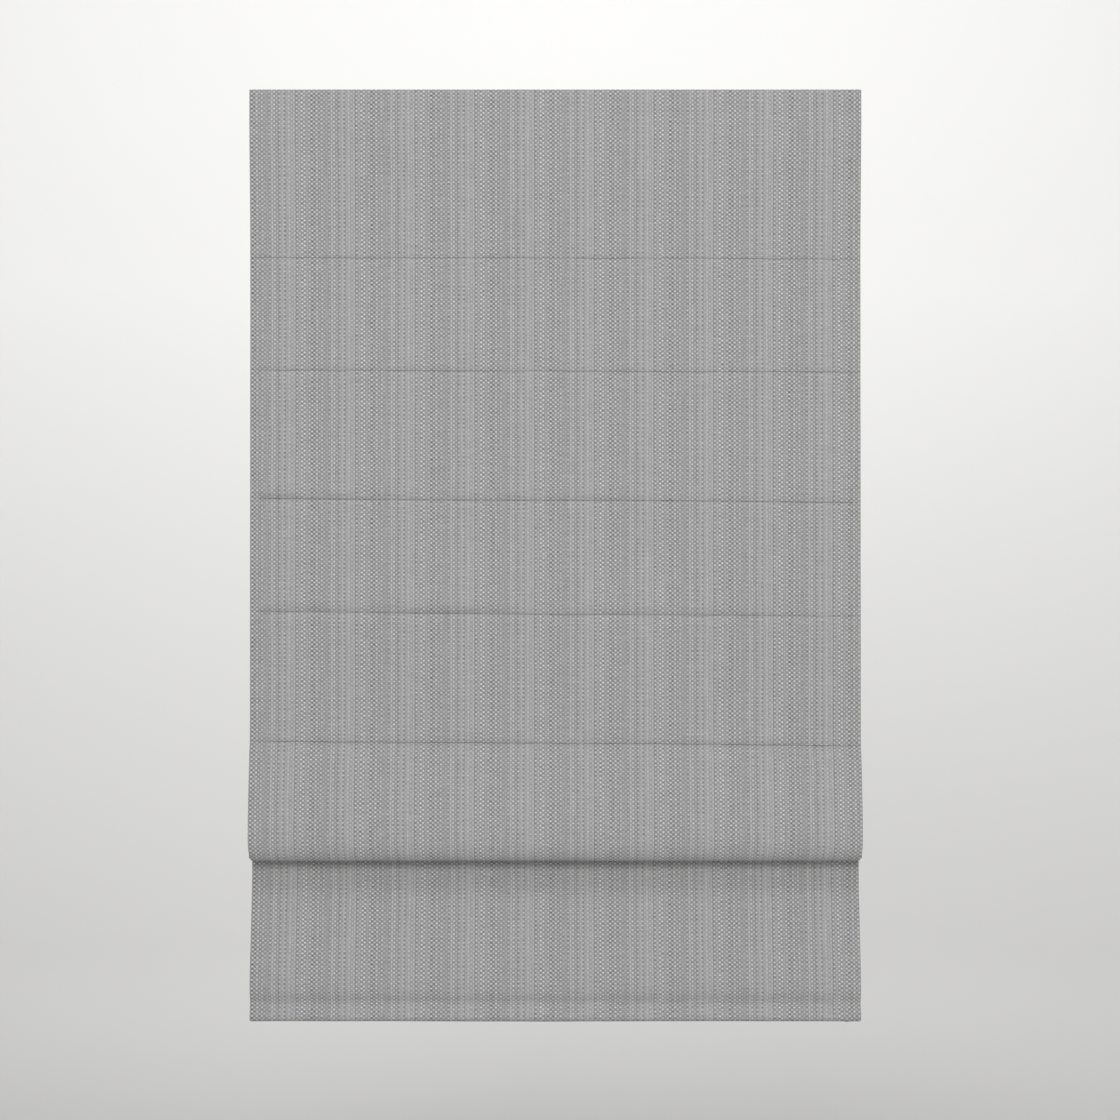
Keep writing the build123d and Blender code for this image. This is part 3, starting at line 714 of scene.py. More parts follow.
class Finishes:
    """Every finish of the blind, by the slot that the record names."""

    def __init__(self) -> None:
        """Builds the node groups and the materials."""
        ribbed = RibbedWeave().group()
        plain = plain_weave_group()
        surface = handled_surface_group()
        self.by_slot: dict[str, bpy.types.Material] = {
            "face_cloth": FaceClothFinish(
                "grey_ribbed_cloth", 0.0004, 0.5, Coordinates.CLOTH, specular=0.15, sheen=0.12
            ).make(ribbed),
            "lining": PlainClothFinish(
                "white_lining", 0.00015, 0.3, Coordinates.CLOTH, specular=0.25, sheen=0.1
            ).make(plain),
            "lift_cord": PlainClothFinish(
                "braided_cord", 0.0002, 0.8, thread=(0.82, 0.81, 0.77), across=900.0, down=700.0, contrast=0.3
            ).make(plain),
            "hook_tape": PlainClothFinish(
                "hook_tape", 0.0005, 0.9, thread=(0.72, 0.72, 0.72), across=600.0, down=600.0, contrast=0.35
            ).make(plain),
            "loop_tape": PlainClothFinish(
                "loop_tape", 0.0005, 0.9, sheen=0.3, thread=(0.78, 0.78, 0.77), across=420.0, down=380.0,
                contrast=0.3,
            ).make(plain),
            "white_plastic": HardFinish(
                "white_plastic", 0.0001, 0.25, clean=(0.8, 0.8, 0.78), worn=(0.66, 0.65, 0.62), smoothest=0.3
            ).make(surface),
            "motor_plastic": HardFinish(
                "motor_plastic", 0.0001, 0.4, clean=(0.045, 0.046, 0.05), worn=(0.1, 0.1, 0.1), smoothest=0.42
            ).make(surface),
            "clear_plastic": HardFinish(
                "clear_plastic", 0.0001, 0.15, clean=(0.84, 0.85, 0.85), worn=(0.74, 0.74, 0.72),
                smoothest=0.12, roughest=0.3, transmission=0.35,
            ).make(surface),
            "bracket": HardFinish(
                "zinc_bracket", 0.0001, 0.3, clean=(0.62, 0.63, 0.64), worn=(0.5, 0.5, 0.48), wear=0.35,
                grain=300.0, metallic=1.0, smoothest=0.25, roughest=0.5,
            ).make(surface),
            "rib_rod": HardFinish(
                "glass_fibre_rod", 0.0001, 0.3, clean=(0.82, 0.81, 0.74), worn=(0.7, 0.69, 0.62),
                smoothest=0.35,
            ).make(surface),
            "headrail": HardFinish(
                "white_powder_coat", 0.00015, 0.3, clean=(0.84, 0.84, 0.82), worn=(0.7, 0.69, 0.66),
                wear=0.12, grain=900.0, smoothest=0.34, roughest=0.46,
            ).make(surface),
            "lift_shaft": HardFinish(
                "drawn_aluminium", 0.0001, 0.3, clean=(0.75, 0.76, 0.77), worn=(0.6, 0.6, 0.6), metallic=1.0
            ).make(surface),
            "weight_bar": HardFinish(
                "mill_aluminium", 0.0001, 0.3, clean=(0.72, 0.73, 0.74), worn=(0.58, 0.58, 0.58), metallic=1.0
            ).make(surface),
            "spring_ribbon": HardFinish(
                "spring_steel", 0.0001, 0.2, clean=(0.32, 0.35, 0.4), worn=(0.45, 0.43, 0.4), metallic=1.0,
                smoothest=0.2, roughest=0.4,
            ).make(surface),
            "screw": HardFinish(
                "zinc_screw", 0.0001, 0.2, clean=(0.68, 0.68, 0.68), worn=(0.5, 0.5, 0.5), metallic=1.0
            ).make(surface),
        }
        self.thread = PlainClothFinish(
            "grey_thread", 0.0002, 0.6, thread=(0.25, 0.25, 0.252), across=1800.0, down=900.0, contrast=0.3
        ).make(plain)

    def dress(self, piece: bpy.types.Object, slot: str) -> None:
        """Gives a piece the finish of a slot."""
        piece.data.materials.clear()
        piece.data.materials.append(self.by_slot[slot])


# ---------------------------------------------------------------- sewn cloth


@dataclass(frozen=True)
class Seam:
    """A line across the blind where a rod is sewn in: its place, and how the cloth stands each side of it."""

    name: str
    y: float
    z: float
    body: Body
    tilt: float
    wander: float
    above: tuple[float, float]
    above_wide: float
    below: tuple[float, float]
    below_wide: float
    seed: int
    groove: float = 0.0002
    groove_wide: float = 0.0022
    fade: float = 0.045
    free_side: float = 0.004
    hold_wide: float = 0.016
    pucker: float = 0.00035
    pucker_fade: float = 0.012
    tuck: float = 0.0011
    tuck_in: float = 0.024
    tuck_wide: float = 0.007

    def drop(self, x: Array) -> Array:
        """How far the seam lies above its own height at a place across: a tilt and a slow wander."""
        return self.tilt * x / CLOTH_HALF + self.wander * Ripple(self.seed, 0.6, 0.12, 4).at(x)

    def hold(self, x: Array) -> Array:
        """How firmly the seam holds the cloth: fully, fading out over the last of each side."""
        reach = np.clip((CLOTH_HALF - self.free_side - np.abs(x)) / self.hold_wide, 0.0, 1.0)
        return reach * reach * (3.0 - 2.0 * reach)

    def stand(self, x: Array, away: Array, up: bool) -> Array:
        """How far the cloth stands towards the room near the seam.

        A groove fades with distance, and beside it the cloth swells: it rises as one less an exponential of
        distance over the width, to the power 1.4, and fades. Near the seam the cloth puckers by a ripple, and
        a bell-shaped tuck stands over the edge of each side hem.

        Args:
            x: Place across.
            away: Distance from the seam, not negative.
            up: Whether the place is above the seam.

        Returns:
            Distances towards the room.
        """
        left, right = self.above if up else self.below
        wide = self.above_wide if up else self.below_wide
        share = (x / CLOTH_HALF + 1.0) / 2.0
        uneven = 1.0 + 0.55 * Ripple(self.seed + (31 if up else 57), 0.32, 0.04, 6).at(x)
        rise = 1.0 - np.exp(-((away / wide) ** 1.4))
        swell = (left + (right - left) * share) * uneven * rise * np.exp(-away / self.fade)
        near = np.exp(-away / self.pucker_fade)
        pucker = self.pucker * Ripple(self.seed + 77, 0.05, 0.011, 7).at(x, away) * near
        groove = self.groove * np.exp(-away / self.groove_wide)
        from_tuck = (np.abs(x) - CLOTH_HALF + self.tuck_in) / self.tuck_wide
        tuck = self.tuck * np.exp(-(from_tuck**2)) * near
        return self.hold(x) * (swell - groove) + pucker + tuck


@dataclass(frozen=True)
class Crease:
    """A short wrinkle between two (x, z) places."""

    start: tuple[float, float]
    end: tuple[float, float]
    high: float
    wide: float

    def stand(self, x: Array, z: Array) -> Array:
        """How far the cloth stands out: high times the exponential of minus (distance over wide) squared.

        Args:
            x: Place across.
            z: Height.

        Returns:
            Distances towards the room.
        """
        run = np.array(self.end) - np.array(self.start)
        from_start = np.stack([x - self.start[0], z - self.start[1]], -1)
        share = np.clip(from_start @ run / (run @ run), 0.0, 1.0)
        gap = np.linalg.norm(from_start - share[..., None] * run, axis=-1)
        return self.high * np.exp(-((gap / self.wide) ** 2))


def across_profile(columns: int, turn_back: float, side_fine: float) -> tuple[Array, Array, Array]:
    """A sheet's section across: the front from side to side, with each side turned back on itself.

    The turn is half an ellipse, and behind it the cloth lies one step back.

    Args:
        columns: Points along the front, near enough.
        turn_back: Distance from the front layer to the turned one.
        side_fine: Step between points near the sides.

    Returns:
        Place across, distance behind the front layer, and cloth coordinate across.
    """
    bend = 0.0012
    side = CLOTH_HALF - bend
    front = spaced_rows(2 * side, 2 * side / columns, side_fine, 0.080) - side
    angle = np.linspace(0.0, np.pi, 7)[1:]
    turn_x = side + bend * np.sin(angle)
    turn_y = turn_back / 2 * (1 - np.cos(angle))
    back_x = np.linspace(side, CLOTH_HALF - SIDE_TURN, 5)[1:]
    right_x = np.concatenate([turn_x, back_x])
    right_y = np.concatenate([turn_y, np.full(4, turn_back)])
    columns = len(front)
    x = np.concatenate([-right_x[::-1], front, right_x])
    back = np.concatenate([right_y[::-1], np.zeros(columns), right_y])
    step = np.hypot(np.diff(x), np.diff(back))
    u = np.concatenate([[0.0], np.cumsum(step)])
    return x, back, u - u[-1] / 2


@dataclass(frozen=True)
class Bend:
    """The two bodies that a panel bends between, and the stretch over which it goes from one to the other."""

    upper: Body
    lower: Body
    start: float | None = None
    end: float | None = None
    share: float = 1.0

    def apply(self, piece: bpy.types.Object, path: Path) -> None:
        """Lets a panel ride on its one body; a panel that spans two only has its placement baked into its
        points.

        Args:
            piece: The panel.
            path: Its side view; not used.
        """
        if self.upper is self.lower:
            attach(piece, self.upper.value)
            return
        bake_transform(piece)


@dataclass(frozen=True)
class Cloth:
    """A kind of cloth: its slot, its thickness, and the names of its pieces and of the nodes they replace."""

    slot: str
    thickness: float
    piece: str
    node: str

    def finish(
        self, piece: bpy.types.Object, number: int, flat: tuple[float, float], finishes: Finishes
    ) -> None:
        """Thickens and dresses a sheet, and hides the part that it replaces.

        Args:
            piece: The sheet, still one layer.
            number: Its number from the top.
            flat: Its flat width and length; not used.
            finishes: The blind's finishes.
        """
        thicken(piece, self.thickness)
        finishes.dress(piece, self.slot)
        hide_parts(f"{self.node}_{number}")
        LOG.info("%s: %d points", piece.name, len(piece.data.vertices))


FACE_CLOTH = Cloth("face_cloth", FACE_THICK, "face_cloth", "cloth_panel")
LINING = Cloth("lining", LINING_THICK, "lining", "lining_panel")


@dataclass
class FacePanel:
    """One stretch of the face cloth, from seam to seam or to a free end.

    Its sides are turned back, and the turned part is cut away where a rod passes behind it.
    """

    number: int
    path: Path
    bend: Bend
    top: Seam | None = None
    foot: Seam | None = None
    billow: float = 0.0012
    rods: tuple[float, ...] = ()
    columns: int = 150
    coarse: float = 0.007
    fine: float = 0.0016
    near: float = 0.018
    turn_back: float = 0.0013
    creases: tuple[Crease, ...] = ()
    creases_end: float = 0.038
    side_fine: float = 0.004
    pull: float = 0.0
    pull_from: float = 0.0
    pull_to: float = 1.0
    notch: float = 0.0042
    first_seed: int = 20

    def drawn_in(self, x: Array, s: Array) -> Array:
        """Place across after the sides are drawn in, by a share that grows with the square of distance."""
        share = np.clip((s - self.pull_from) / (self.pull_to - self.pull_from), 0.0, 1.0)
        return x * (1.0 - self.pull / CLOTH_HALF * share * share)

    def surface(self, x: Array, s: Array) -> tuple[Array, Array]:
        """Where the front layer lies.

        The path gives the side view, the seams add their grooves, swells and slopes, and a slow ripple that
        dies out at sewn ends adds the cloth's own unevenness.

        Args:
            x: Place across.
            s: Distance down the path.

        Returns:
            y and z.
        """
        length = self.path.length()
        y, z, back_y, back_z = self.path.at(s)
        share = s / length
        ripple = Ripple(self.first_seed + self.number, 0.5, 0.07, 6, 0.8)
        forward = self.billow * ripple.at(x, s) * np.sin(np.pi * share)
        for crease in self.creases:
            forward = forward + crease.stand(x, z) * (s < length - self.creases_end)
        lift = np.zeros_like(z + x)
        if self.top is not None:
            forward = forward + self.top.stand(x, s, up=False)
            lift = lift + self.top.drop(x) * (1.0 - share) ** 2
        if self.foot is not None:
            forward = forward + self.foot.stand(x, length - s, up=True)
            lift = lift + self.foot.drop(x) * share**2
        return y - back_y * forward, z - back_z * forward + lift

    def kept_cells(self, back: Array, s: Array) -> Array:
        """Which cells of the grid have a face: all but the turned-back sides where a rod passes behind.

        Rods pass at the panel's ends unless their distances down the path are given.

        Args:
            back: Distance behind the front layer, for each column.
            s: Distance down the path, for each row.

        Returns:
            Rows by columns of yes and no.
        """
        middle_back = (back[1:] + back[:-1]) / 2
        middle_s = (s[1:] + s[:-1]) / 2
        rods = np.array(self.rods or (0.0, self.path.length()))
        at_rod = np.min(np.abs(middle_s[:, None] - rods[None, :]), axis=1) < self.notch
        turned = middle_back > self.turn_back * 0.97
        return ~(at_rod[:, None] & turned[None, :])

    def build(self, finishes: Finishes, cloth_top: float) -> None:
        """Makes the panel, closed and dressed, and lets it ride on its body when it has only one.

        Args:
            finishes: The blind's finishes.
            cloth_top: Length of the cloth above the panel.
        """
        across, back, u = across_profile(self.columns, self.turn_back, self.side_fine)
        s = spaced_rows(self.path.length(), self.coarse, self.fine, self.near)
        x_grid, s_grid = np.meshgrid(across, s)
        y, z = self.surface(x_grid, s_grid)
        _, _, back_y, back_z = self.path.at(s_grid)
        points = np.stack([self.drawn_in(x_grid, s_grid), y + back_y * back, z + back_z * back], -1)
        uv = np.stack(np.meshgrid(u, -(cloth_top + s)), -1)
        piece = grid_object(f"{FACE_CLOTH.piece}_{self.number}", points, uv, self.kept_cells(back, s))
        FACE_CLOTH.finish(piece, self.number, (2 * (CLOTH_HALF + SIDE_TURN), self.path.length()), finishes)
        self.bend.apply(piece, self.path)


@dataclass
class LiningPanel:
    """One stretch of lining, behind a face panel, left open round the cord guides."""

    number: int
    path: Path
    bend: Bend
    back: float = 0.0055
    notch_top: float | None = None
    notch_foot: float | None = None
    billow: float = 0.0006
    half: float = 0.432
    notch_half: float = 0.005
    columns: int = 70
    first_seed: int = 40

    def columns_across(self) -> Array:
        """Places across: evenly spaced, with the sides of each notch in place of what lies near them."""
        cuts = np.array([cord + side * self.notch_half for cord in CORD_X for side in (-1.0, 1.0)])
        plain = np.linspace(-self.half, self.half, self.columns)
        clear = np.min(np.abs(plain[:, None] - cuts[None, :]), axis=1) > 0.002
        return np.sort(np.concatenate([plain[clear], cuts]))

    def rows_down(self, length: float) -> Array:
        """Distances down the path, with the end of each notch in place of what lies near it."""
        foot = None if self.notch_foot is None else length - self.notch_foot
        lines = [line for line in (self.notch_top, foot) if line]
        rows = spaced_rows(length, 0.008, 0.004, 0.012)
        rows = rows[[min([abs(row - line) for line in lines], default=1.0) > 0.0008 for row in rows]]
        return np.sort(np.concatenate([rows, lines]))

    def kept_cells(self, across: Array, rows: Array, length: float) -> Array:
        """Which cells of the grid have a face: all but those in a notch.

        Args:
            across: Place of each column.
            rows: Distance down the path of each row.
            length: The path's length.

        Returns:
            Rows by columns of yes and no.
        """
        middle_x = (across[1:] + across[:-1]) / 2
        middle_s = (rows[1:] + rows[:-1]) / 2
        by_cord = np.min(np.abs(middle_x[:, None] - np.array(CORD_X)[None, :]), axis=1) < self.notch_half
        by_rib = middle_s < (self.notch_top or 0.0)
        by_rib |= middle_s > length - (self.notch_foot or 0.0)
        return ~(by_rib[:, None] & by_cord[None, :])

    def build(self, finishes: Finishes) -> None:
        """Makes the panel, closed and dressed, and lets it ride on its body when it has only one.

        The layer lies one step behind the path along its normal, with a slow ripple that dies at its ends.

        Args:
            finishes: The blind's finishes.
        """
        length = self.path.length()
        across, rows = self.columns_across(), self.rows_down(length)
        x, s = np.meshgrid(across, rows)
        y, z, back_y, back_z = self.path.at(s)
        ripple = 1.0 + Ripple(self.first_seed + self.number, 0.4, 0.08, 5).at(x, s)
        away = self.back + self.billow * ripple * np.sin(np.pi * s / length) ** 2
        points = np.stack([x, y + back_y * away, z + back_z * away], -1)
        keep = self.kept_cells(across, rows, length)
        piece = grid_object(f"{LINING.piece}_{self.number}", points, np.stack([x, -s], -1), keep)
        LINING.finish(piece, self.number, (2 * self.half, length), finishes)
        self.bend.apply(piece, self.path)


@dataclass(frozen=True)
class StitchLine:
    """A row of stitches: each is a short thread that rises from the cloth and dives back in."""

    name: str
    body: Body
    length: float = 0.0032
    gap: float = 0.0008
    radius: float = 0.00016
    sink: float = 0.0006
    reach: float = 0.438
    seed: int = 5

    def starts(self) -> Array:
        """Where each stitch starts, across the blind."""
        pitch = self.length + self.gap
        count = int(2 * self.reach / pitch)
        return -self.reach + pitch * np.arange(count)

    def build(self, line: tuple[Array, Array, Array], finishes: Finishes) -> None:
        """Makes all the stitches of a row as one piece, which rides on one body.

        A stitch's centre line is straight between its ends, and sinks at each by a fourth power. It has six
        rings of six points, and two quads close each end.

        Args:
            line: Places across, and the cloth's front y and z there, which the row follows.
            finishes: The blind's finishes.
        """
        draw = np.random.default_rng(self.seed)
        start = self.starts()
        start = start + draw.uniform(-0.15, 0.15, len(start)) * self.gap
        sides = 6
        share = np.linspace(0.0, 1.0, 6)
        x = start[:, None] + self.length * share[None, :]
        slant = draw.normal(0.0, 0.00008, (len(start), 1)) * (share[None, :] - 0.5) * 2
        dive = self.sink * np.abs(2 * share - 1)[None, :] ** 4
        y = np.interp(x, line[0], line[1]) - self.radius * 0.7 + dive
        z = np.interp(x, line[0], line[2]) + slant
        angle = np.arange(sides) * np.pi / 3
        ring_y = y[..., None] + self.radius * np.cos(angle)
        ring_z = z[..., None] + self.radius * np.sin(angle)
        points = np.stack([np.broadcast_to(x[..., None], ring_y.shape), ring_y, ring_z], -1).reshape(-1, 3)
        ring = np.arange(sides)
        after = (ring + 1) % sides
        step = np.arange(len(share) - 1)[:, None] * sides
        walls = np.stack([step + ring, step + after, step + after + sides, step + ring + sides], -1)
        last = (len(share) - 1) * sides
        head, foot = np.array([[0, 3, 2, 1], [0, 5, 4, 3]]), np.array([[0, 1, 2, 3], [0, 3, 4, 5]]) + last
        one = np.concatenate([walls.reshape(-1, 4), head, foot])
        faces = (np.arange(len(start))[:, None, None] * len(share) * sides + one[None]).reshape(-1, 4)
        piece = mesh_object(self.name, points, faces)
        piece.data.materials.append(finishes.thread)
        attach(piece, self.body.value)
        LOG.info("%s: %d stitches", piece.name, len(start))


@dataclass
class SewnCloth:
    """The blind's cloth: eight face panels and their lining, with the sewing that joins them."""

    rib_1: Seam = Seam(
        "rib_1", y=-0.01426, z=-0.2515, body=Body.RIB_1, tilt=-0.0012, wander=0.0006, seed=11,
        above=(0.0014, 0.0014), above_wide=0.006, below=(0.0018, 0.0016), below_wide=0.0045,
    )
    crease_1: Seam = Seam(
        "crease_1", y=-0.01562, z=-0.4215, body=Body.CREASE_1, tilt=-0.0016, wander=0.0007, seed=12,
        above=(0.0024, 0.0016), above_wide=0.006, below=(0.0021, 0.0022), below_wide=0.0045,
    )
    rib_2: Seam = Seam(
        "rib_2", y=-0.01717, z=-0.6150, body=Body.RIB_2, tilt=-0.0030, wander=0.0008, seed=13,
        above=(0.0050, 0.0026), above_wide=0.009, below=(0.0036, 0.0024), below_wide=0.0055, groove=0.0004,
    )
    crease_2: Seam = Seam(
        "crease_2", y=-0.01853, z=-0.7850, body=Body.CREASE_2, tilt=-0.0030, wander=0.0008, seed=14,
        above=(0.0064, 0.0044), above_wide=0.010, below=(0.0058, 0.0058), below_wide=0.0075,
    )
    rib_3: Seam = Seam(
        "rib_3", y=-0.02007, z=-0.9785, body=Body.RIB_3, tilt=-0.0042, wander=0.0009, seed=15,
        above=(0.0027, 0.0026), above_wide=0.007, below=(0.0034, 0.0026), below_wide=0.006,
    )
    hem_creases: tuple[Crease, ...] = (
        Crease((-0.4544, -1.3690), (-0.4334, -1.3695), 0.0016, 0.0021),
        Crease((-0.4334, -1.3695), (-0.4240, -1.3765), 0.0018, 0.0023),
        Crease((-0.4439, -1.3745), (-0.4364, -1.3905), -0.0016, 0.0024),
        Crease((0.3890, -1.3513), (0.4414, -1.3780), 0.0017, 0.0030),
        Crease((0.4234, -1.3672), (0.4369, -1.3915), 0.0020, 0.0030),
        Crease((0.4440, -1.3620), (0.4560, -1.3720), -0.0014, 0.0030),
    )
    header_y: float = -0.0248
    header_stitch: float = -0.0325
    cloth_top: float = -0.0006
    near_seam: float = 0.00008
    lining_notch: float = 0.0040
    fold_bend_end: float = -1.125
    inner_leaf: Route = ((-0.02349, -0.9938), (-0.03257, -1.1490))
    fold_lining: Route = (
        (-0.02255, -0.9865),
        (-0.0257, -0.9977),
        (-0.03117, -1.0312),
        (-0.0369, -1.0903),
        (-0.03707, -1.1392),
    )
    header_thread_y: float = -0.0249
    hem_stitch: tuple[float, float] = (-0.0163, -1.3672)

    def header_path(self, top: float) -> Path:
        """The header panel hangs plumb over the rail, then swings back to the first rib."""
        knee = (-0.01742, -0.1765)
        foot = (self.rib_1.y, self.rib_1.z + self.near_seam)
        if top < -0.03:
            return Path(((self.header_y, top), (self.header_y, -0.0455), knee, foot))
        tuck = ((-0.0252, top), (-0.0258, -0.012), (-0.0256, -0.024), (-0.0249, self.header_stitch))
        return Path(tuck + ((-0.0256, -0.041), (-0.0250, -0.060), knee, foot))

    def between(self, upper: Seam, lower: Seam) -> Path:
        """A panel from one seam to the next."""
        return Path(((upper.y, upper.z - self.near_seam), (lower.y, lower.z + self.near_seam)))

    def fold_path(self) -> Path:
        """The closed fold, which swells out from the third rib and hooks round its crease."""
        return Path(
            (
                (self.rib_3.y, self.rib_3.z - self.near_seam),
                (-0.0266, -0.9945),
                (-0.0344, -1.0312),
                (-0.0426, -1.0760),
                (-0.0463, -1.1170),
                (-0.0451, -1.1293),
                (-0.0428, -1.1376),
                (-0.0394, -1.1446),
                (-0.0352, -1.1496),
                (-0.0304, -1.1524),
                (-0.0270, -1.1530),
                (-0.0243, -1.1513),
                (-0.0234, -1.1465),
                (-0.0238, -1.1412),
            )
        )

    def bottom_front(self) -> Route:
        """The bottom panel, from the lowest rib to the top of its hem."""
        return (
            (-0.02019, -0.99358),
            (-0.02009, -1.0175),
            (-0.00619, -1.0893),
            (0.00781, -1.1610),
            (-0.00844, -1.2663),
            (-0.0214, -1.3270),
            (-0.0228, -1.3390),
            (-0.0227, -1.3490),
            (-0.0209, -1.3585),
            (-0.0163, -1.3672),
        )

    def bottom_path(self) -> Path:
        """The bottom panel and its hem, which turns up round the weight bar and is sewn above it."""
        return Path(
            self.bottom_front()
            + (
                (-0.0178, -1.3700),
                (-0.0199, -1.3758),
                (-0.0224, -1.3820),
                (-0.0240, -1.3880),
                (-0.0218, -1.3930),
                (-0.01419, -1.3945),
                (-0.01207, -1.39362),
                (-0.01119, -1.3915),
                (-0.01119, -1.3885),
                (-0.01119, -1.3780),
                (-0.01119, -1.3725),
                (-0.0113, -1.3692),
                (-0.0139, -1.3664),
                (-0.0158, -1.3642),
                (-0.0161, -1.3595),
            )
        )

    def face_panels(self) -> tuple[FacePanel, ...]:
        """The eight face panels, from the header to the hem."""
        bottom_rods, fold_rods = (0.0, 0.1750), (0.0, 0.1650)
        return (
            FacePanel(
                1, self.header_path(self.cloth_top), Bend(Body.RAIL, Body.RIB_1, start=-0.036),
                foot=self.rib_1, billow=0.0010,
            ),
            FacePanel(
                2, self.between(self.rib_1, self.crease_1), Bend(Body.RIB_1, Body.CREASE_1, share=0.85),
                self.rib_1, self.crease_1,
            ),
            FacePanel(
                3, self.between(self.crease_1, self.rib_2), Bend(Body.CREASE_1, Body.RIB_2),
                self.crease_1, self.rib_2,
            ),
            FacePanel(
                4, self.between(self.rib_2, self.crease_2), Bend(Body.RIB_2, Body.CREASE_2, share=0.85),
                self.rib_2, self.crease_2, 0.0014,
            ),
            FacePanel(
                5, self.between(self.crease_2, self.rib_3), Bend(Body.CREASE_2, Body.RIB_3),
                self.crease_2, self.rib_3, 0.0014,
            ),
            FacePanel(
                6, self.fold_path(), Bend(Body.RIB_3, Body.CREASE_3, end=self.fold_bend_end), self.rib_3,
                billow=0.0010, rods=fold_rods, fine=0.0014, near=0.060, pull=0.0042, pull_from=0.147,
                pull_to=0.190,
            ),
            FacePanel(7, Path(self.inner_leaf), Bend(Body.RIB_4, Body.CREASE_3), billow=0.0003),
            FacePanel(
                8, self.bottom_path(), Bend(Body.RIB_4, Body.RIB_4), billow=0.0012, rods=bottom_rods,
                columns=190, fine=0.0012, near=0.060, side_fine=0.0015, creases=self.hem_creases,
            ),
        )

    def lining_panels(self) -> tuple[LiningPanel, ...]:
        """The lining behind each face panel."""
        notch = self.lining_notch
        return (
            LiningPanel(1, self.header_path(-0.0358), Bend(Body.RAIL, Body.RIB_1), notch_foot=notch),
            LiningPanel(
                2, self.between(self.rib_1, self.crease_1), Bend(Body.RIB_1, Body.CREASE_1), notch_top=notch
            ),
            LiningPanel(
                3, self.between(self.crease_1, self.rib_2), Bend(Body.CREASE_1, Body.RIB_2), notch_foot=notch
            ),
            LiningPanel(
                4, self.between(self.rib_2, self.crease_2), Bend(Body.RIB_2, Body.CREASE_2), notch_top=notch
            ),
            LiningPanel(
                5, self.between(self.crease_2, self.rib_3), Bend(Body.CREASE_2, Body.RIB_3), notch_foot=notch
            ),
            LiningPanel(
                6, Path(self.fold_lining), Bend(Body.RIB_3, Body.CREASE_3, end=self.fold_bend_end), back=0.0,
                billow=0.0,
            ),
            LiningPanel(7, Path(self.inner_leaf), Bend(Body.RIB_4, Body.CREASE_3), back=0.0016, billow=0.0),
            LiningPanel(8, Path(self.bottom_front()[:-3]), Bend(Body.RIB_4, Body.RIB_4), notch_top=notch),
        )

    def stitching(self, finishes: Finishes) -> None:
        """Sews the seams, the header and the hem."""
        x = np.linspace(-CLOTH_HALF, CLOTH_HALF, 400)
        for number, seam in enumerate((self.rib_1, self.crease_1, self.rib_2, self.crease_2, self.rib_3), 1):
            line = (x, np.full_like(x, seam.y - FACE_THICK / 2), seam.z + seam.drop(x))
            StitchLine(f"seam_stitches_{number}", seam.body, seed=seam.seed).build(line, finishes)
        straight = (
            ("header_stitches", Body.RAIL, self.header_thread_y, self.header_stitch, 21),
            ("hem_stitches", Body.RIB_4, *self.hem_stitch, 22),
        )
        for name, body, y, z, seed in straight:
            line = (x, np.full_like(x, y - FACE_THICK / 2), np.full_like(x, z))
            StitchLine(name, body, reach=0.450, seed=seed).build(line, finishes)

    def build(self, finishes: Finishes) -> None:
        """Builds the face cloth, the lining and the stitching."""
        cloth_top = 0.0
        for panel in self.face_panels():
            panel.build(finishes, cloth_top)
            cloth_top += panel.path.length()
        for lining in self.lining_panels():
            lining.build(finishes)
        self.stitching(finishes)


# ---------------------------------------------------------------- lift cords


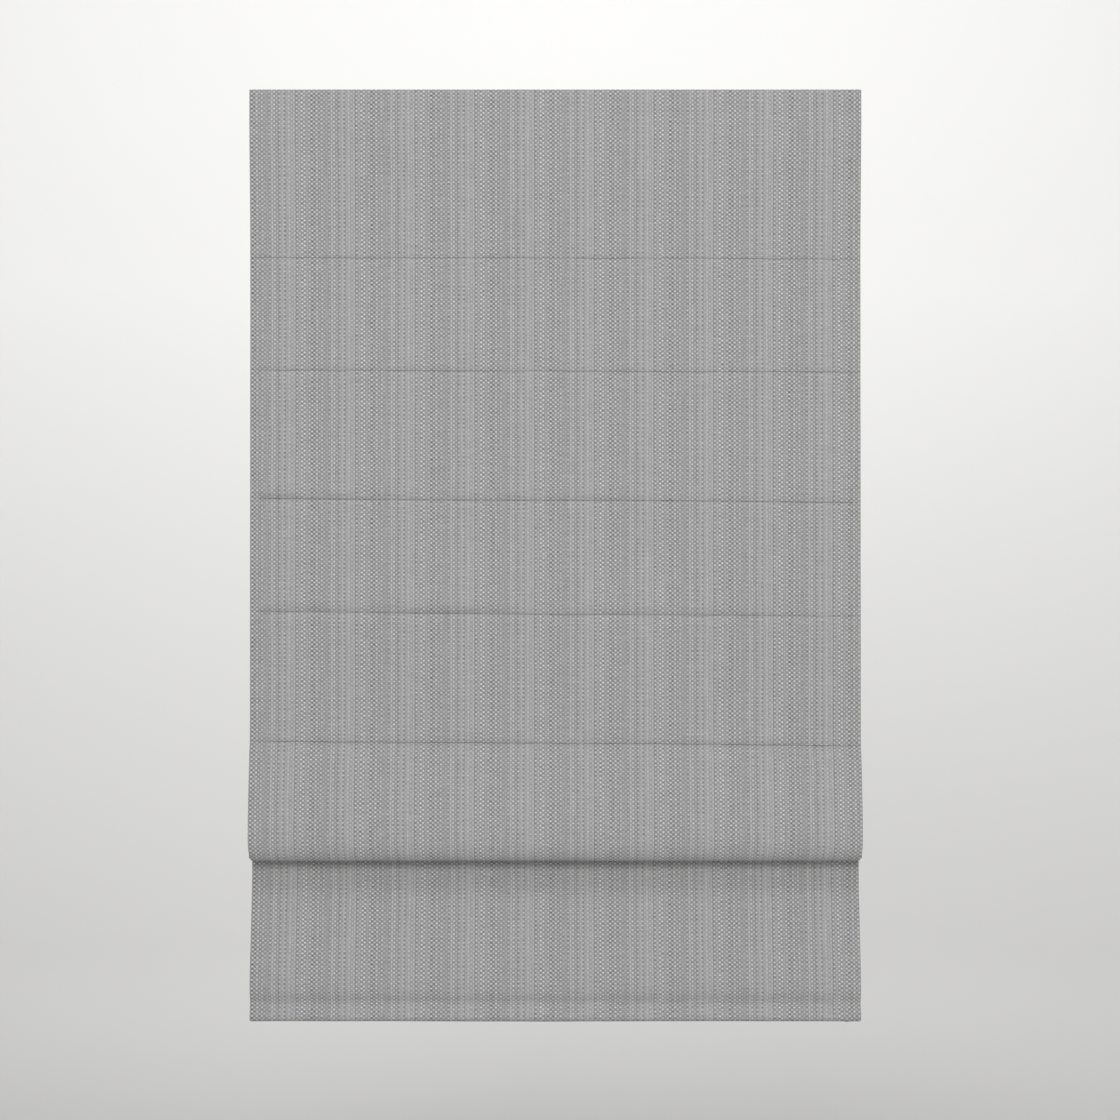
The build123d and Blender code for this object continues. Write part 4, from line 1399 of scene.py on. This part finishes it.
@dataclass(frozen=True)
class LiftCord:
    """A cord: the run from its spool, and the slack end that feeds it when the lowest fold is let down."""

    number: int
    x: float
    top: tuple[float, float] = (-0.0023856, -0.0185)
    foot: tuple[float, float] = (-0.0103028, -1.0082)
    diameter: float = 0.0014
    spare: float = 0.350

    def at(self, share: float) -> Point:
        """A point along the cord, from its head at 0 to its tie at 1."""
        return (
            self.x,
            self.top[0] + (self.foot[0] - self.top[0]) * share,
            self.top[1] + (self.foot[1] - self.top[1]) * share,
        )

    def centreline(self, start: float, end: float, count: int = 60) -> Array:
        """Points of a spline along part of the cord.

        Args:
            start: Share of the cord at the piece's head.
            end: Share at its foot.
            count: Points.

        Returns:
            The points.
        """
        curve = bpy.data.curves.new(f"cord_line_{self.number}", "CURVE")
        curve.dimensions = "3D"
        spline = curve.splines.new("NURBS")
        spline.points.add(4)
        for place, point in enumerate(spline.points):
            point.co = (*self.at(start + (end - start) * place / 4), 1.0)
        spline.order_u = 3
        spline.use_endpoint_u = True
        spline.resolution_u = 12
        holder = bpy.data.objects.new(curve.name, curve)
        bpy.context.scene.collection.objects.link(holder)
        line = bpy.data.meshes.new_from_object(holder.evaluated_get(bpy.context.evaluated_depsgraph_get()))
        points = np.zeros(len(line.vertices) * 3)
        line.vertices.foreach_get("co", points)
        bpy.data.objects.remove(holder)
        bpy.data.curves.remove(curve)
        bpy.data.meshes.remove(line)
        points = points.reshape(-1, 3)
        order = np.argsort(-points[:, 2])
        run = np.linspace(0, len(points) - 1, count)
        return np.stack([np.interp(run, np.arange(len(points)), points[order, k]) for k in range(3)], -1)

    def tube(self, name: str, line: Array, diameter: float, finishes: Finishes) -> bpy.types.Object:
        """A closed round tube along a line that runs down: rings of eight points in level planes.

        Args:
            name: The piece's name.
            line: Centre points, from the top down.
            diameter: The cord's diameter.
            finishes: The blind's finishes.

        Returns:
            The piece.
        """
        sides = 8
        angle = np.arange(sides) * np.pi / 4
        ring = diameter / 2 * np.stack([np.cos(angle), np.sin(angle), np.zeros(sides)], -1)
        points = (line[:, None, :] + ring[None]).reshape(-1, 3)
        around = np.arange(sides)
        after = (around + 1) % sides
        step = np.arange(len(line) - 1)[:, None] * sides
        walls = np.stack([step + around, step + around + sides, step + after + sides, step + after], -1)
        head = np.array([[0, 1, 2, 3], [0, 3, 4, 5], [0, 5, 6, 7]])
        foot = head[:, ::-1] + (len(line) - 1) * sides
        piece = mesh_object(name, points, np.concatenate([walls.reshape(-1, 4), head, foot]))
        finishes.dress(piece, "lift_cord")
        return piece

    def build(self, finishes: Finishes) -> None:
        """Makes the run, which rides on the rail, and the slack end, which rides on the lowest rib."""
        length = math.dist(self.at(0.0), self.at(1.0))
        axis = tuple((b - a) / length for a, b in zip(self.at(0.0), self.at(1.0)))
        main_line = self.centreline(0.0, 1.0)
        main = self.tube(f"lift_cord_run_{self.number}", main_line, self.diameter, finishes)
        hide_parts(f"lift_cord_{self.number}")
        spare_line = self.centreline(1.0 - self.spare / length, 0.9995, 24)
        spare = self.tube(f"lift_cord_end_{self.number}", spare_line, self.diameter * 0.94, finishes)
        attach(main, Body.RAIL.value)
        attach(spare, Body.RIB_4.value)
        self.at(0.0)
        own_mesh(main)
        self.at(1.0)
        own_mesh(spare)
        self.at(0.0)
        self.at(1.0)
        LOG.info("lift cord %d: %.3f m", self.number, length)


# ---------------------------------------------------------------- what the parts wear


def numbered(name: str, count: int) -> tuple[str, ...]:
    """The names of pieces that are numbered from 1."""
    return tuple(f"{name}_{number}" for number in range(1, count + 1))


@dataclass(frozen=True)
class Hardware:
    """The hard parts, tapes and rods: for each slot, the pieces that wear its finish."""

    worn_by: tuple[tuple[str, tuple[str, ...]], ...] = (
        ("headrail", ("headrail",)),
        ("bracket", ("bracket_left", "bracket_right")),
        ("hook_tape", ("hook_tape",)),
        ("loop_tape", ("loop_tape",)),
        ("white_plastic", ("end_cap_left", "end_cap_right", "weight_bar_cap_left", "weight_bar_cap_right")),
        ("white_plastic", (*numbered("cord_cradle", 3), *numbered("cord_spool", 3))),
        ("white_plastic", ("output_drum", "storage_drum")),
        ("motor_plastic", ("motor_case", "motor_cover")),
        ("screw", ("motor_screws",)),
        ("spring_ribbon", ("spring_ribbon",)),
        ("lift_shaft", ("lift_shaft",)),
        ("rib_rod", (*numbered("rib", 4), *numbered("front_rib", 4))),
        ("clear_plastic", (*numbered("cord_guides", 4), *numbered("cord_adjuster", 3))),
        ("weight_bar", ("weight_bar",)),
    )

    def dress(self, finishes: Finishes) -> None:
        """Gives every hard part its finish."""
        for slot, names in self.worn_by:
            for name in names:
                finishes.dress(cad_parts[name], slot)
                LOG.info("%s: %s", name, slot)


# ---------------------------------------------------------------- light, room and camera


@dataclass(frozen=True)
class SoftLight:
    """A square light that faces a point."""

    name: str
    place: Point
    aim: Point
    size: float
    watts: float
    colour: tuple[float, float, float] = (1.0, 1.0, 1.0)

    def build(self) -> None:
        """Adds the light."""
        lamp = bpy.data.lights.new(self.name, "AREA")
        lamp.shape = "SQUARE"
        lamp.size = self.size
        lamp.energy = self.watts
        lamp.color = self.colour
        made = bpy.data.objects.new(self.name, lamp)
        bpy.context.scene.collection.objects.link(made)
        made.location = self.place
        direction = np.array(self.aim) - np.array(self.place)
        flat = math.hypot(direction[0], direction[1])
        made.rotation_euler = (math.atan2(flat, -direction[2]), 0.0, math.atan2(-direction[0], direction[1]))


LIGHTS = (
    SoftLight("key", place=(-0.5, -4.9, 0.7), aim=(0.0, 0.0, -0.9), size=1.3, watts=113.0),
    SoftLight("top", place=(0.3, -4.0, 4.2), aim=(0.0, 0.0, -1.1), size=1.4, watts=72.0),
    SoftLight("fill", place=(1.9, -3.6, -0.9), aim=(0.1, 0.0, -1.1), size=1.6, watts=19.5),
    SoftLight("backdrop", place=(0.0, 3.0, 3.0), aim=(0.0, 8.0, -0.6), size=3.0, watts=215.0),
)


@dataclass(frozen=True)
class Room:
    """A pale floor that rises far away into a round pale wall, and the light of the sky above it."""

    floor: float = -2.05
    flat: float = 5.0
    bend: float = 3.0
    high: float = 6.0
    shade: tuple[float, float, float] = (0.84, 0.835, 0.82)
    floor_shade: tuple[float, float, float] = (0.62, 0.615, 0.605)
    fade: float = 2.6
    sky: tuple[float, float, float] = (0.86, 0.88, 0.9)
    sky_strength: float = 0.30

    def build(self) -> None:
        """Makes the floor as a turned profile: flat, then a quarter circle, then straight up."""
        quarter = np.linspace(0.0, np.pi / 2, 24)
        wall = self.flat + self.bend
        radius = np.concatenate([[0.01, 1.0, 3.0], self.flat + self.bend * np.sin(quarter), [wall]])
        height = np.concatenate([[0.0] * 3, self.bend * (1 - np.cos(quarter)), [self.high]]) + self.floor
        turn = np.linspace(0.0, 2 * np.pi, 97)
        points = np.stack(
            [
                radius[:, None] * np.sin(turn)[None, :],
                radius[:, None] * np.cos(turn)[None, :],
                np.broadcast_to(height[:, None], (len(height), len(turn))),
            ],
            -1,
        )
        floor = grid_object("floor", points)
        material = bpy.data.materials.new("pale_floor")
        material.use_nodes = True
        kit = Shading(material.node_tree)
        shader = material.node_tree.nodes["Principled BSDF"]
        place = kit.node("ShaderNodeTexCoord").outputs["Object"]
        parts = kit.node("ShaderNodeSeparateXYZ", {"Vector": place})
        cloud = kit.scaled(kit.noise(place, 0.6, 3.0), -0.03, 0.03)
        rate = 1.0 / self.fade
        climb = kit.math("MULTIPLY_ADD", parts.outputs["Z"], rate, -self.floor * rate, clamp=True)
        share = kit.math("ADD", climb, cloud, clamp=True)
        kit.feed(shader.inputs["Base Color"], kit.blend(share, (*self.floor_shade, 1.0), (*self.shade, 1.0)))
        shader.inputs["Roughness"].default_value = 0.9
        shader.inputs["Specular IOR Level"].default_value = 0.1
        floor.data.materials.append(material)
        world = bpy.data.worlds.new("pale_sky")
        world.use_nodes = True
        background = world.node_tree.nodes["Background"]
        background.inputs["Color"].default_value = (*self.sky, 1.0)
        background.inputs["Strength"].default_value = self.sky_strength
        bpy.context.scene.world = world


@dataclass(frozen=True)
class ViewPoint:
    """The camera, level and square to the blind."""

    place: Point = (0.007, -3.77, -0.704)
    frame_wide: float = 1.678
    cloth_y: float = -0.018
    sensor: float = 36.0

    def build(self) -> None:
        """Adds the camera, whose lens is sensor times distance over the width of the frame at the cloth."""
        eye = bpy.data.cameras.new("camera")
        eye.sensor_width = self.sensor
        eye.lens = self.sensor * (self.cloth_y - self.place[1]) / self.frame_wide
        made = bpy.data.objects.new("camera", eye)
        bpy.context.scene.collection.objects.link(made)
        made.location = self.place
        made.rotation_euler = (math.pi / 2, 0.0, 0.0)
        bpy.context.scene.camera = made


def write_sizes() -> None:
    """Brings the scene's placements up to date."""
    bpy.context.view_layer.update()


def main() -> None:
    """Builds the blind, then its room, light and camera."""
    logging.basicConfig(level=logging.INFO, format="%(name)s: %(message)s")
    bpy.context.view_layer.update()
    finishes = Finishes()
    Hardware().dress(finishes)
    SewnCloth().build(finishes)
    for number, x in enumerate(CORD_X, 1):
        LiftCord(number, x).build(finishes)
    Room().build()
    for light in LIGHTS:
        light.build()
    ViewPoint().build()
    bpy.context.scene.view_settings.view_transform = "Standard"
    write_sizes()


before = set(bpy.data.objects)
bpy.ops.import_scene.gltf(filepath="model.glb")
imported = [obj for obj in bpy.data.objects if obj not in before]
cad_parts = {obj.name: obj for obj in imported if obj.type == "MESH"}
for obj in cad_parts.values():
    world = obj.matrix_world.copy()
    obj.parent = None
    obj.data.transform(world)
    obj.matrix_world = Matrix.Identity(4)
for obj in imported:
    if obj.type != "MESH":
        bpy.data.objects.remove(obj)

if __name__ == "__main__":
    main()
